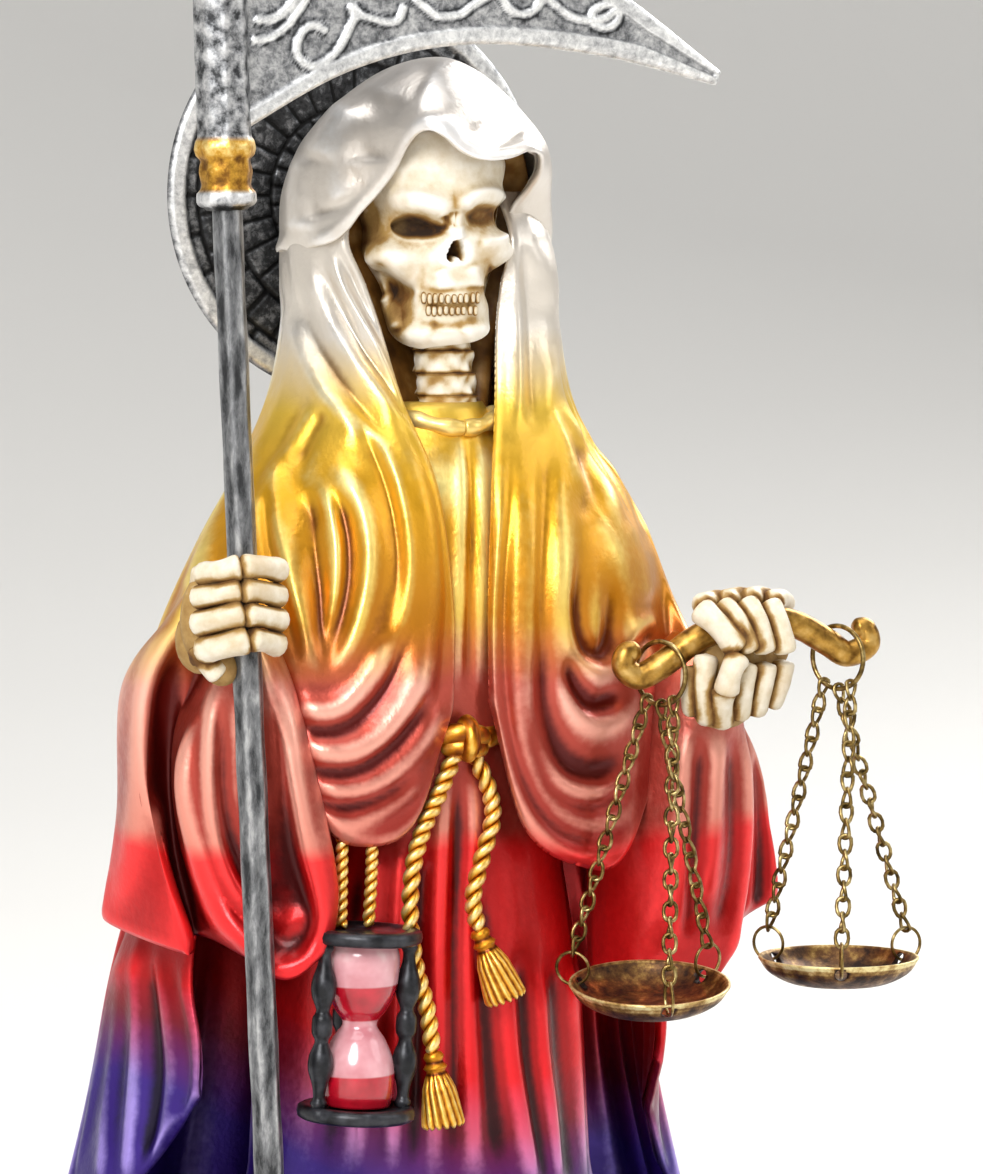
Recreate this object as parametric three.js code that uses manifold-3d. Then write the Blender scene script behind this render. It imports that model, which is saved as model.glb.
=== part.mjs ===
// A robed skeleton figure with a scythe, a halo and a pair of scales, cast and painted.
// Millimetres, +Z up, the figure faces -Y and stands on a low oval base.

import * as THREE from 'three';
import { mergeVertices } from 'three/addons/utils/BufferGeometryUtils.js';
import Module from 'manifold-3d';

const wasm = await Module();
wasm.setup();

// Driving dimensions
const figureHeight = 262;
const baseWidth = 158;
const baseDepth = 124;
const baseHeight = 6;
const baseBevel = 1.6;
const poleWidth = 5.5;
const scytheHeight = 292;
const socketWidth = 10.5;
const bladeReach = 93;
const bladeThickness = 3.6;
const bladeBorder = 3;
const bladeRecess = 0.7;
const haloDiameter = 76;
const haloThickness = 3;
const haloRimWidth = 4;
const haloRimHeight = 1.2;
const beamThickness = 4.6;
const hangerDiameter = 12.4;
const hangerWire = 0.9;
const hangerSlack = 1.4;
const linkLength = 6.4;
const linkWidth = 3;
const linkWire = 0.76;
const linkBite = 0.12;
const panDiameter = 29.5;
const panDepth = 5.2;
const panWall = 0.8;
const panHoleDiameter = 2.2;
const panHoleDrop = 1.5;
const panRingDiameter = 6.8;
const panRingWire = 0.6;
const fitGap = 0.3;

// The figure is free form: its pose and carving are drawn 262 mm high and kept in proportion
const share = figureHeight / 262;
const turn = 2 * Math.PI;
const up = new THREE.Vector3(0, 0, 1);
const ahead = new THREE.Vector3(0, -1, 0);

// Helpers for points, profiles and folds
const at = (x, y, z) => new THREE.Vector3(x, y, z).multiplyScalar(share);
const mix = (a, b, t) => a + (b - a) * t;
const rise = (x, low, high) => THREE.MathUtils.smoothstep(x, low, high);
const fall = (x, low, high) => 1 - rise(x, low, high);
const bell = (x, middle, width) => Math.exp(-(((x - middle) / width) ** 2));

// a fold that stands out at every other vertex and falls in between
const pleat = (k) => (k % 2 === 0 ? 1 : -0.6);

function spline(points, closed = false) {
  return new THREE.CatmullRomCurve3(points, closed, 'catmullrom', 0.5);
}

// reads a row of numbers between keyed rows [key, ...numbers]
function keyed(rows, key) {
  const last = rows.length - 1;
  const rising = rows[last][0] > rows[0][0];
  let i = 0;
  while (i < last - 1 && (rising ? key > rows[i + 1][0] : key < rows[i + 1][0])) i++;
  const t = THREE.MathUtils.clamp((key - rows[i][0]) / (rows[i + 1][0] - rows[i][0]), 0, 1);
  return rows[i].slice(1).map((number, k) => mix(number, rows[i + 1][k + 1], t));
}

// a cloth surface hung on strands that run down it: u goes across the strands, v goes down them
function cloth(strands, closed = false) {
  const lines = strands.map((points) => spline(points));
  return (u, v) => spline(lines.map((line) => line.getPoint(v)), closed).getPoint(u);
}

// moves every vertex of a geometry
function shaped(geometry, move) {
  const place = geometry.attributes.position;
  const p = new THREE.Vector3();
  for (let i = 0; i < place.count; i++) {
    move(p.fromBufferAttribute(place, i));
    place.setXYZ(i, p.x, p.y, p.z);
  }
  return geometry;
}

// the closed body that a geometry bounds, turned the right way out
function solid(geometry) {
  const bare = geometry.clone();
  bare.deleteAttribute('normal');
  bare.deleteAttribute('uv');
  const merged = mergeVertices(bare, 1e-3);
  const corners = Uint32Array.from(merged.index.array);
  const vertProperties = Float32Array.from(merged.attributes.position.array);
  const corner = (k) => new THREE.Vector3().fromArray(vertProperties, 3 * corners[k]);
  let volume = 0;
  for (let i = 0; i < corners.length; i += 3) {
    volume += corner(i).dot(corner(i + 1).cross(corner(i + 2)));
  }
  if (volume < 0) corners.reverse();
  return new wasm.Manifold(new wasm.Mesh({ numProp: 3, vertProperties, triVerts: corners }));
}

const joined = (solids) => solids.reduce((whole, piece) => whole.add(piece));
const without = (whole, cuts) => cuts.reduce((rest, cut) => rest.subtract(cut), whole);
const larger = (a, b) => (b.volume() > a.volume() ? b : a);

// a closed skin: place(u, v) runs round as u goes 0 to 1 and from top to bottom as v does
function skin(place, around, along, tuck = 0) {
  const tube = new THREE.CylinderGeometry(1, 1, 1, around, along);
  return solid(shaped(tube, (p) => {
    const v = 0.5 - p.y;
    if (Math.hypot(p.x, p.z) > 0.5) {
      p.copy(place((Math.atan2(p.x, p.z) / turn + 1) % 1, v));
      return;
    }
    p.set(0, 0, 0);
    for (let k = 0; k < around; k++) p.addScaledVector(place(k / around, v), 1 / around);
    if (v > 0.5) p.addScaledVector(up, tuck);
  }));
}

// a draped sheet: its face at place(u, v), its back set in from the face at the few shares
// of the width that the list names, from the far edge to the near one
function draped(place, inset, across, down, backs) {
  const around = across + 1 + backs.length;
  return skin((turned, v) => {
    const k = Math.round(turned * around) % around;
    if (k <= across) return place(k / across, v);
    const u = backs[k - across - 1];
    return inset(u, v, place(u, v));
  }, around, down);
}

function ball(centre, radii, around = 8, rings = 6) {
  const sphere = new THREE.SphereGeometry(1, around, rings);
  sphere.rotateX(turn / 4).scale(...radii.map((r) => r * share));
  return solid(sphere.translate(centre.x, centre.y, centre.z));
}

// a round bar along a curve: its radius is given at each share of the length, and its rings
// stand at even steps, or at the shares that a list names
function bar(curve, radius, sides, steps) {
  const stops = Array.isArray(steps) ? steps : null;
  const along = (v) => curve.getPoint(THREE.MathUtils.clamp(v, 0, 1));
  return skin((u, step) => {
    const v = stops ? stops[Math.round(step * (stops.length - 1))] : step;
    const way = along(v + 0.01).sub(along(v - 0.01)).normalize();
    const side = new THREE.Vector3().crossVectors(way, barSide(way)).normalize();
    const top = new THREE.Vector3().crossVectors(side, way);
    return along(v)
      .addScaledVector(side, radius(v) * Math.cos(turn * u))
      .addScaledVector(top, radius(v) * Math.sin(turn * u));
  }, sides, stops ? stops.length - 1 : steps);
}

// the direction that a bar's section is lined up with: ahead, unless the bar itself points there
function barSide(direction) {
  return Math.abs(direction.dot(ahead)) < 0.95 ? ahead : up;
}

// one finger bone
function bone(a, b, radius) {
  return bar(new THREE.LineCurve3(a, b), () => share * radius, 5, 1);
}

const paint = (color, metalness, roughness) =>
  new THREE.MeshStandardMaterial({ color, metalness, roughness });

const paints = {
  robe: paint('#a3121f', 0.35, 0.35),
  silver: paint('#7d7f80', 0.7, 0.45),
  bronze: paint('#8a6526', 0.8, 0.4),
  brass: paint('#a08c4e', 0.9, 0.35),
};

function geometryOf(body) {
  const { vertProperties, triVerts } = body.getMesh();
  const geometry = new THREE.BufferGeometry();
  geometry.setAttribute('position', new THREE.BufferAttribute(vertProperties, 3));
  geometry.setIndex(new THREE.BufferAttribute(triVerts, 1));
  return geometry;
}

// the outer skin alone, without the specks of space that folds and fingers close in
function outerSkin(body) {
  return solid(geometryOf(body)).decompose().reduce(larger);
}

function meshOf(name, body, material) {
  const geometry = geometryOf(body);
  geometry.computeVertexNormals();
  const mesh = new THREE.Mesh(geometry, material);
  mesh.name = name;
  return mesh;
}

// Places shared by the pieces that meet
const poleTop = at(-51.3, -34, 245);
const poleFoot = at(-41.1, -34, 0).setZ(baseHeight + 1.5 * fitGap);
const poleLine = new THREE.LineCurve3(poleFoot, poleTop);
const haloMiddle = at(-0.7, 0, 237.4);
const haloBack = 29.3 * share;
const beamLine = spline([
  at(27.2, -36.9, 155), at(24.8, -36.6, 154.6), at(24.5, -36.5, 152.1), at(27.2, -37, 150.4),
  at(31.6, -37.9, 152.6), at(36.9, -39, 156.6), at(42.5, -40.4, 159.3), at(48.1, -41.5, 160.5),
  at(55.4, -43, 159.5), at(61.1, -44.6, 156.3), at(65, -45.6, 153.9), at(68.8, -46.3, 155.5),
  at(68.4, -46.1, 158.3), at(66.2, -45.6, 158.3),
]);

// The oval base
function base() {
  const foot = baseHeight - baseBevel;
  const profile = [
    [0, 0], [1 - baseBevel / baseDepth, 0], [1, baseBevel], [1, foot],
    [1 - 2 * baseBevel / baseDepth, baseHeight], [0, baseHeight],
  ].map(([r, z]) => new THREE.Vector2(r, z));
  const turned = new THREE.LatheGeometry(profile, 26);
  turned.rotateX(turn / 4).scale(baseWidth / 2, baseDepth / 2, 1);
  return solid(turned.translate(0, 4 * share, 0));
}

// The tunic, gathered under the girdle and falling in upright folds
function tunic() {
  const pleats = 14;
  const rows = [
    [200, 9, 9, -5.5], [185, 20, 17, -4], [165, 23, 21, -3.5], [139, 20, 22, -2.5],
    [122, 25, 24, -1], [90, 30, 26.5, 0], [57, 31.5, 29, 0], [30, 37, 34, 1], [3, 46, 41, 2],
  ];
  return skin((u, v) => {
    const z = mix(200, 3, v);
    const [a, b, y] = keyed(rows, z);
    const angle = turn * (u + 0.25 / pleats);
    const fold = 1.3 * fall(z, 60, 150) * pleat(Math.round(2 * pleats * u));
    return at((a + fold) * Math.sin(angle), y - (b + fold) * Math.cos(angle), z);
  }, 2 * pleats, 6);
}

// The long mantle behind and beside the tunic: front corners rounded, hem sweeping to the ground
function mantle() {
  const half = (s) => [
    [at(s * 36, -6, 150), at(s * 47, -5, 103), at(s * 47.5, -8, 84), at(s * 47, -7, 74)],
    [at(s * 40, 1, 150), at(s * 50, 5, 103), at(s * 50, 3, 80), at(s * 51, 5, 60)],
    [at(s * 41, 9, 150), at(s * 51.5, 14, 103), at(s * 54, 17, 74), at(s * 64, 20, 38)],
    [at(s * 36, 18, 150), at(s * 48, 24, 103), at(s * 55, 29, 62), at(s * 69, 34, 4)],
    [at(s * 21, 26, 150), at(s * 30, 34, 103), at(s * 34, 40, 60), at(s * 42, 49, 4)],
  ];
  const middle = [at(0, 28, 150), at(0, 36, 103), at(0, 42, 60), at(0, 53, 4)];
  const drape = cloth([...half(-1), middle, ...half(1).reverse()]);
  const folds = 22;
  const place = (u, v) => {
    const p = drape(u, v);
    const outward = new THREE.Vector3(p.x, p.y, 0).normalize();
    const fold = 1.5 * share * rise(v, 0.15, 0.6) * pleat(Math.round(folds * u));
    return p.addScaledVector(outward, fold);
  };
  const inset = (u, v, p) => {
    const deep = Math.abs(u - 0.5) > 0.45 ? 3 : 8;
    return p.addScaledVector(new THREE.Vector3(p.x, 0, 0).normalize(), -deep * share);
  };
  return draped(place, inset, folds, 5, [1, 0.86, 0.14, 0]);
}

// The shoulder cape, which hangs to the hips behind
function cape() {
  const rows = [
    [208, 13, 12, 5], [199, 21, 15, 5], [192, 29, 19, 5], [181, 35, 22, 5],
    [162, 38, 24, 7], [135, 42, 25, 12], [110, 45, 25, 15],
  ];
  const folds = 20;
  return skin((u, v) => {
    const z = mix(208, 112, v) - 7 * v * bell(u, 0.5, 0.2);
    const [a, b, y] = keyed(rows, z);
    const angle = turn * u;
    const fold = fall(z, 130, 180) * pleat(Math.round(folds * u));
    return at((a + fold) * Math.sin(angle), y - (b + fold) * Math.cos(angle), z);
  }, folds, 6);
}

// The cape's two front lobes, with nested folds that hang in a U below a flat breast
function lobe(strands) {
  const drape = cloth(strands);
  const rows = 10;
  const smooth = 0.36;
  const place = (u, v) => {
    const depth = 1.3 * share * rise(v, smooth, smooth + 0.2) * Math.sin(Math.PI * mix(0.1, 0.9, u));
    return drape(u, v).addScaledVector(ahead, depth * pleat(Math.round(rows * v)));
  };
  const inset = (u, v, p) => p.add(at(0, 9, 1.5));
  return draped(place, inset, 7, rows, [1, 0]);
}

const rightLobe = () => lobe([
  [at(-33, -10, 186), at(-36, -18, 171), at(-36.5, -24, 157), at(-34.5, -28, 145)],
  [at(-27, -9, 194), at(-30, -23, 173), at(-32, -28, 151), at(-31.6, -29.5, 126)],
  [at(-19, -8, 200), at(-21, -25, 177), at(-22, -30, 149), at(-23.6, -31, 121)],
  [at(-13, -9, 203), at(-13, -25.5, 180), at(-12, -29.5, 151), at(-13.3, -30, 124.8)],
  [at(-9, -10, 204), at(-6.4, -24, 183), at(-4.2, -26.5, 164), at(-5.1, -27, 145)],
]);

const leftLobe = () => lobe([
  [at(8, -10, 204), at(4, -24, 183), at(2, -26.5, 163), at(1.7, -28, 146)],
  [at(12, -9, 203), at(10.6, -25.5, 179), at(8.5, -29.5, 150), at(7.4, -30, 123.5)],
  [at(19, -8, 200), at(21, -25, 176), at(19.5, -29.5, 147), at(18, -29.6, 115.5)],
  [at(28, -8, 193), at(33, -20, 171), at(33, -25.5, 146), at(29.5, -28, 116.5)],
  [at(35, -7, 184), at(41, -12, 170), at(43.5, -15, 155), at(43.8, -18, 139.5)],
]);

// The arms under the cape
const arm = (points, radii) =>
  bar(spline(points), (v) => keyed(radii, v)[0] * share, 7, 5);

const rightArm = () => arm(
  [at(-19, 5, 184), at(-30, 2, 174), at(-42, 1, 158), at(-46, -14, 157), at(-51, -28, 161.6)],
  [[0, 12], [0.25, 11.5], [0.5, 11], [0.75, 8.5], [1, 6]],
);

const leftArm = () => arm(
  [at(19, 5, 184), at(30, 2, 174), at(37, 1, 159), at(43, -14, 150), at(45, -34, 148)],
  [[0, 12], [0.25, 11.5], [0.5, 11], [0.75, 8.5], [1, 5]],
);

// The wide hanging sleeves, hollow at the hem
const rightSleeve = () => skin(cloth([
  [at(-50, -7, 163), at(-57.3, -1, 149), at(-57.6, 3, 126), at(-59.2, 8, 105)],
  [at(-52.5, -21, 166), at(-57.6, -14, 148), at(-56, -12.5, 124), at(-51, -14, 101)],
  [at(-47, -18, 160), at(-51, -8, 140), at(-50, -5, 120), at(-46, -5, 103)],
  [at(-48, -25, 157), at(-54.3, -21, 135), at(-51, -23, 117), at(-45.1, -28, 101.5)],
  [at(-45.5, -28, 156), at(-44.5, -27, 135), at(-41, -26, 114), at(-40, -33, 98.6)],
  [at(-42.5, -30, 156), at(-38, -33, 134), at(-33, -34, 115), at(-34, -33, 101)],
  [at(-38, -20, 155), at(-33, -23, 132), at(-29, -24, 114), at(-31, -24, 103)],
  [at(-40, -8, 156), at(-38, -4, 136), at(-38, -1, 118), at(-41, 3, 106)],
  [at(-45, 0, 160), at(-48, 6, 142), at(-50, 10, 124), at(-53, 13, 108)],
], true), 16, 5, 9 * share);

const leftSleeve = () => skin(cloth([
  [at(57, -10, 146), at(66, -8, 130), at(69.5, -6, 117), at(71.6, -6, 104)],
  [at(55, -15, 146), at(60, -12, 130), at(60, -10, 115), at(61.6, -11, 100.5)],
  [at(54, -24, 145), at(56.8, -23, 128), at(57, -21, 110), at(53.5, -21, 94)],
  [at(47, -29, 143), at(47, -28, 124), at(47, -26, 105), at(44, -21.5, 85.2)],
  [at(39, -24, 142), at(37, -26, 122), at(35, -25, 104), at(33, -20, 87)],
  [at(34, -12, 144), at(30, -12, 124), at(30, -10, 106), at(31, -8, 93)],
  [at(42, 0, 148), at(44, 6, 130), at(46, 8, 113), at(46, 6, 98)],
  [at(50, -2, 150), at(56, 4, 132), at(60, 5, 116), at(63, 2, 102)],
], true), 14, 5, 9 * share);

// The hood over the skull: its brim juts over the face and the veil falls to the chest on each
// side. Each row goes round from the right rim over the back to the left rim, then in behind
// the face.
function hood() {
  const rows = [
    [261.8, [-2, -9], [-5, -3], [-4, 4], [0, 7], [4, 4], [5, -3], [3, -9], [2, -9], [0, -9], [-1, -9]],
    [257, [-6, -18], [-13, -5], [-9, 9], [0, 15], [9, 9], [12, -6], [7, -19], [4, -22], [1, -23], [-3, -21]],
    [250, [-9, -24], [-19, -4], [-14, 13], [0, 20.5], [14, 12.5], [19, -7], [14, -23], [9, -27],
      [2, -28], [-5, -26.5]],
    [244, [-13, -20], [-23, -1], [-17.5, 15], [0, 22.5], [16, 14.5], [22, -6], [15.7, -21], [12, -10],
      [0, -6], [-10, -8]],
    [236, [-16.5, -14.5], [-25, 1], [-19.5, 17], [0, 25], [18.5, 16], [24.5, -5], [13.8, -17], [13, -6],
      [0, 4], [-13, -4]],
    [229, [-18.5, -9], [-25.4, 3], [-20, 18], [0, 25.5], [20.5, 17], [26.9, -3], [12.2, -12.5], [13, -4],
      [0, 6], [-14, -1]],
    [218, [-13.7, -11], [-24, 3], [-19.5, 18], [0, 25.5], [21, 17], [27.6, -1], [9.7, -11], [10, -4],
      [0, 3], [-11, -3]],
    [205, [-9.6, -15], [-22.5, -1], [-19, 15], [0, 23.5], [20, 15], [26.5, -1], [9.4, -14], [9, -8],
      [1, -6], [-8, -8]],
    [190, [-8, -18], [-22, -7], [-19, 10], [0, 21], [20, 10], [24, -7], [6.5, -18], [6, -14],
      [0, -13], [-6, -14]],
  ];
  const strands = rows[0].slice(1).map((_, k) => rows.map((row) => at(...row[k + 1], row[0])));
  return skin(cloth(strands, true), 24, rows.length - 1);
}

// The flat pad on the back of the hood that the halo is fixed to
function haloPad() {
  const face = haloMiddle.clone().setY(haloBack - fitGap);
  const root = face.clone().setY(face.y - 12 * share);
  return bar(new THREE.LineCurve3(root, face), () => 8 * share, 8, 1);
}

// The skull, turned a little to its own right, with drawn brows and clenched teeth
const skullAxis = 13;
const skullRows = [
  [27, 5, 5, 6], [22, 12.6, 12, 15], [15.5, 14, 13.6, 17.2], [11, 13.6, 13.4, 17.4],
  [8.4, 13, 13.2, 17], [6.6, 12.4, 12.2, 16.6], [4.9, 12.2, 12.1, 16.2], [2.8, 12.5, 12.3, 15.5],
  [0.6, 12.7, 12.3, 14.5], [-2.2, 12, 12, 13], [-5, 10.4, 12.3, 11], [-8.2, 9.4, 12.6, 9],
  [-10.6, 9.3, 12.5, 8.4], [-12.4, 9.2, 11.8, 8], [-14.6, 8.6, 12, 7], [-16.6, 6.6, 10.6, 5],
];

function skull() {
  const head = new THREE.Matrix4()
    .makeTranslation(at(-1.2, -19.5, 226.8))
    .multiply(new THREE.Matrix4().makeRotationZ(-0.09))
    .multiply(new THREE.Matrix4().makeRotationY(-0.05));
  const pit = (x, z, w, h) => Math.exp(-(((x / w) ** 2 + (z / h) ** 2) ** 2));
  const angles = [0, 9, 18, 28, 39, 53, 74, 110, 150, 180];
  const columns = 2 * (angles.length - 1);
  return skin((u, v) => {
    const k = Math.round(u * columns);
    const degrees = k < angles.length ? angles[k] : -angles[columns - k];
    const angle = THREE.MathUtils.degToRad(degrees);
    const [z, wide, front, back] = skullRows[Math.round(v * (skullRows.length - 1))];
    const deep = Math.abs(degrees) < 90 ? front : back;
    const round = Math.hypot(Math.sin(angle) / wide, Math.cos(angle) / deep);
    const x = Math.abs(Math.sin(angle) / round);
    const relief = Math.abs(degrees) > 90 ? 0
      : 1.5 * bell(x, 5.5, 4.5) * bell(z, 8.8, 1.7) + 1.2 * bell(x, 0, 1.6) * bell(z, 5, 3)
      - 5 * pit(x - 6.3, z - 5.2 + 0.15 * (x - 6.3), 4.4, 2.9) - 3.6 * pit(x, z - 1.4, 2, 2.6)
      + 2.2 * bell(x, 11, 3.4) * bell(z, -0.8, 2.4) - 2.4 * bell(x, 9.5, 3.2) * bell(z, -6, 3)
      - 1.4 * bell(x, 12.5, 2.6) * bell(z, 8, 4) + 0.9 * bell(x, 0, 5.5) * bell(z, -7.6, 3.4)
      - 0.7 * bell(z, -8.6, 0.7) * bell(x, 0, 6) + bell(x, 0, 4.4) * bell(z, -15, 2);
    const reach = 1 / round + relief;
    return at(reach * Math.sin(angle), skullAxis - reach * Math.cos(angle), z).applyMatrix4(head);
  }, columns, skullRows.length - 1);
}

// The neck: stacked vertebrae above the collar of the tunic
function neck() {
  const spine = spline([at(1, -7, 214), at(2, -9, 204), at(2, -12, 192)]);
  const rings = (v) => share * (4.6 + 0.9 * Math.cos(turn * 2.5 * v) + 1.6 * rise(v, 0.75, 1));
  return bar(spine, rings, 6, 5);
}

// a bent finger through the points given
function finger(points, radius) {
  return bar(spline(points), () => share * radius, 4, points.length - 1);
}

// The right fist: four fingers laid across the pole in front, palm and wrist behind it
function rightHand() {
  const rows = [170.4, 166, 161.7, 157.5];
  const fingers = rows.map((z, k) => finger([
    at(-57.4 + 0.5 * k, -32, z + 0.3), at(-51, -39.9, z), at(-42.6 - 0.4 * k, -36.8, z - 0.2),
  ], 2.3));
  return joined([...fingers, ball(at(-52.4, -30.2, 162.5), [7, 5.4, 9.6], 7, 5)]);
}

// The left hand: fingers hooked over the beam, thumb below it
function leftHand() {
  const columns = [42.1, 46.7, 51.4];
  const fingers = columns.map((x, k) => finger([
    at(x + 0.6, -37, 157.6), at(x, -41.6, 163.4 - 0.3 * k), at(x, -45.8, 160.2 - 0.3 * k),
    at(x - 0.4, -46.6, 152.2),
  ], 2.3));
  const index = finger([at(41.1, -37.4, 157.2), at(36.5, -43.8, 162.4), at(41.5, -47.6, 154.8)], 2.3);
  const thumb = finger([at(42.1, -47.2, 154.2), at(39.9, -46.8, 149.2), at(42.1, -43, 143.2)], 2.2);
  return joined([...fingers, index, thumb,
    ball(at(45.5, -38.8, 150.6), [8.4, 6, 9], 8, 5)]);
}

// A twisted cord of the girdle that ends in a bound tassel
function tasselCord(points) {
  const stops = [0, 0.12, 0.25, 0.38, 0.51, 0.64, 0.76, 0.8, 0.84, 0.88, 0.95, 1];
  const radii = [[0, 1.6], [0.76, 1.6], [0.8, 2.4], [0.84, 2.4], [0.88, 1.9], [0.95, 3.2], [1, 3.5]];
  return bar(spline(points), (v) => keyed(radii, v)[0] * share, 5, stops);
}

function girdle() {
  return joined([
    ball(at(-2.8, -26.4, 139.2), [4.1, 3.4, 3.2], 6, 5),
    tasselCord([
      at(-4.4, -26.2, 136), at(-7.9, -27, 130), at(-11.4, -27.8, 123.7), at(-13.8, -28.6, 116.7),
      at(-14.7, -29.4, 107.9), at(-13.8, -30, 98.9), at(-12.1, -31, 91.8), at(-11.2, -31.6, 83),
      at(-9.8, -33, 71.4),
    ]),
    tasselCord([
      at(-0.8, -26, 135.6), at(2.2, -26, 130), at(2.7, -26.6, 124.6), at(0.4, -27, 117.6),
      at(-1.4, -27.2, 110.6), at(-0.2, -27.6, 104), at(4.2, -29.6, 93),
    ]),
  ]);
}

// The hourglass that hangs in front on two short cords
function hourglass() {
  const tilt = new THREE.Matrix4()
    .makeTranslation(at(-24.6, -30, 89.6))
    .multiply(new THREE.Matrix4().makeRotationY(0.05));
  const upright = (x, y, low, high, radius, sides, steps) => bar(
    new THREE.LineCurve3(at(x, y, low).applyMatrix4(tilt), at(x, y, high).applyMatrix4(tilt)),
    (v) => radius(v) * share, sides, steps,
  );
  const plate = (z) => upright(0, 0, z - 1.7, z + 1.7, () => 10.6, 8, 1);
  const post = (x) => upright(x, -2.4, -14.8, 14.8, (v) => 1.6 + 0.5 * Math.cos(2 * turn * v), 4, 4);
  const waist = (v) => mix(3.2, 6.8, Math.abs(Math.cos(Math.PI * v)) ** 0.5);
  const glass = upright(0, 0, -14.8, 14.8, waist, 7, 6);
  const cord = (x) => upright(x, 1.6, 17, 32, () => 1.2, 4, 1);
  return joined([plate(16), plate(-16), post(-8.2), post(8), glass, cord(-3.4), cord(2)]);
}

// What the pole and the beam pass through with clearance
const poleRadius = poleWidth / 2;
const beamRadius = beamThickness / 2;
const poleWay = () => bar(
  new THREE.LineCurve3(poleLine.getPoint(0.02), poleLine.getPoint(0.97)),
  () => (poleRadius + 1.4 * fitGap) / Math.cos(Math.PI / 8), 8, 1,
);
const beamSteps = 18;
const beamWay = () => bar(beamLine, () => beamRadius + 1.4 * fitGap, 6, beamSteps);

function figure() {
  const body = joined([
    base(), tunic(), mantle(), cape(), rightLobe(), leftLobe(),
    rightArm(), leftArm(), rightSleeve(), leftSleeve(), hood(), haloPad(), skull(), neck(),
    rightHand(), leftHand(), girdle(), hourglass(),
  ]);
  return outerSkin(without(body, [poleWay(), beamWay()]));
}

// The scythe's blade: a raised border round a sunk field on both faces, swept to a blunt point
function blade() {
  const root = poleTop.x;
  const point = (x, z) => new THREE.Vector3(root + x * bladeReach, poleTop.y, z * share);
  const lower = spline([
    point(0, 246), point(0.25, 258.4), point(0.49, 263.4), point(0.76, 262), point(1.02, 257),
  ]);
  const upper = spline([
    point(0, 284), point(0.3, 287), point(0.58, 283), point(0.8, 274), point(1.03, 259.4),
  ]);
  const half = bladeThickness / 2;
  const sunk = half - bladeRecess;
  const section = [
    [0, -0.5 * half], [1, -half], [1.3, -sunk], [-1.3, -sunk], [-1, -half], [-0.001, -0.5 * half],
  ];
  const loop = [...section, ...section.map(([edge, y]) => [edge, -y]).reverse()];
  return skin((u, v) => {
    const [edge, y] = loop[Math.round(u * loop.length) % loop.length];
    const from = lower.getPoint(v);
    const across = upper.getPoint(v).sub(from);
    const border = Math.min(bladeBorder / across.length(), 0.3);
    const t = edge < 0 ? 1 + edge * border : edge * border;
    return from.addScaledVector(across, t).add(new THREE.Vector3(0, y, 0));
  }, loop.length, 8);
}

// The scythe: a six-sided pole and a ringed socket that carries the blade
function scythe() {
  const high = new THREE.Vector3(poleTop.x - 1.4 * share, poleTop.y, scytheHeight);
  const socketLine = new THREE.LineCurve3(poleLine.getPoint(0.97), high);
  const bands = [[0, 0.66], [0.03, 1.05], [0.1, 1.05], [0.13, 0.86], [0.28, 0.86], [0.31, 1.08],
    [0.38, 1.08], [0.41, 0.95], [0.92, 0.95], [1, 0.4]];
  const stops = bands.map(([v]) => v);
  const socket = bar(socketLine, (v) => keyed(bands, v)[0] * socketWidth / 2, 8, stops);
  return joined([bar(poleLine, () => poleRadius, 6, 1), socket, blade()]);
}

// The round halo, with a raised rim in front
function halo() {
  const r = haloDiameter / 2;
  const inner = r - haloRimWidth;
  const bevel = haloRimWidth / 5;
  const profile = [
    [0, 0], [inner, 0], [inner + bevel, -haloRimHeight], [r - bevel, -haloRimHeight], [r, 0],
    [r, haloThickness], [0, haloThickness],
  ].map(([x, y]) => new THREE.Vector2(x, y));
  const turned = new THREE.LatheGeometry(profile, 28);
  return solid(turned.translate(haloMiddle.x, haloBack, haloMiddle.z));
}

// The beam of the scales, curled at each end
function beam() {
  const ends = [[0, 0.62], [0.16, 0.86], [0.3, 1], [0.7, 1], [0.84, 0.86], [1, 0.62]];
  return bar(beamLine, (v) => keyed(ends, v)[0] * beamRadius, 6, beamSteps);
}

// A closed wire ring: its flat lies across the direction given
function wireRing(middle, across, diameter, wire, sides, steps) {
  const ring = new THREE.TorusGeometry((diameter - wire) / 2, wire / 2, sides, steps);
  const facing = new THREE.Quaternion().setFromUnitVectors(up, across.clone().normalize());
  return solid(ring.applyQuaternion(facing).translate(middle.x, middle.y, middle.z));
}

// One chain of links, each turned about a quarter from the last, from one wire to another. The
// first and last links face along the wires that run through them.
// A link is an oblong of three-sided wire whose inner edge bites a little into its neighbour's.
function chain(from, to, firstWire, lastWire) {
  const line = to.clone().sub(from);
  const wire = linkWire / 2;
  const corner = Math.SQRT2 * (linkWidth / 2 - wire);
  const count = Math.round(line.length() / (linkLength - 2 * linkWire));
  const pace = line.length() / count;
  const stretch = (pace - linkBite) / 2 - (corner - wire) * Math.SQRT1_2;
  const down = line.clone().normalize();
  const across = firstWire.clone().projectOnPlane(down).normalize();
  const beside = new THREE.Vector3().crossVectors(down, across);
  const facing = Math.atan2(lastWire.dot(beside), lastWire.dot(across));
  const halves = Math.round((facing - (count - 1) * turn / 4) / (turn / 2));
  const twist = (facing - halves * turn / 2) / (count - 1);
  const links = [];
  for (let k = 0; k < count; k++) {
    const ring = new THREE.TorusGeometry(corner, -wire, 3, 4).rotateZ(turn / 8);
    shaped(ring, (p) => {
      p.y += stretch * Math.sign(p.y);
    });
    const normal = across.clone().applyAxisAngle(down, k * twist);
    const side = new THREE.Vector3().crossVectors(down, normal);
    const middle = from.clone().addScaledVector(down, (k + 0.5) * pace);
    ring.applyMatrix4(new THREE.Matrix4().makeBasis(side, down, normal).setPosition(middle));
    links.push(solid(ring));
  }
  return joined(links);
}

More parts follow.
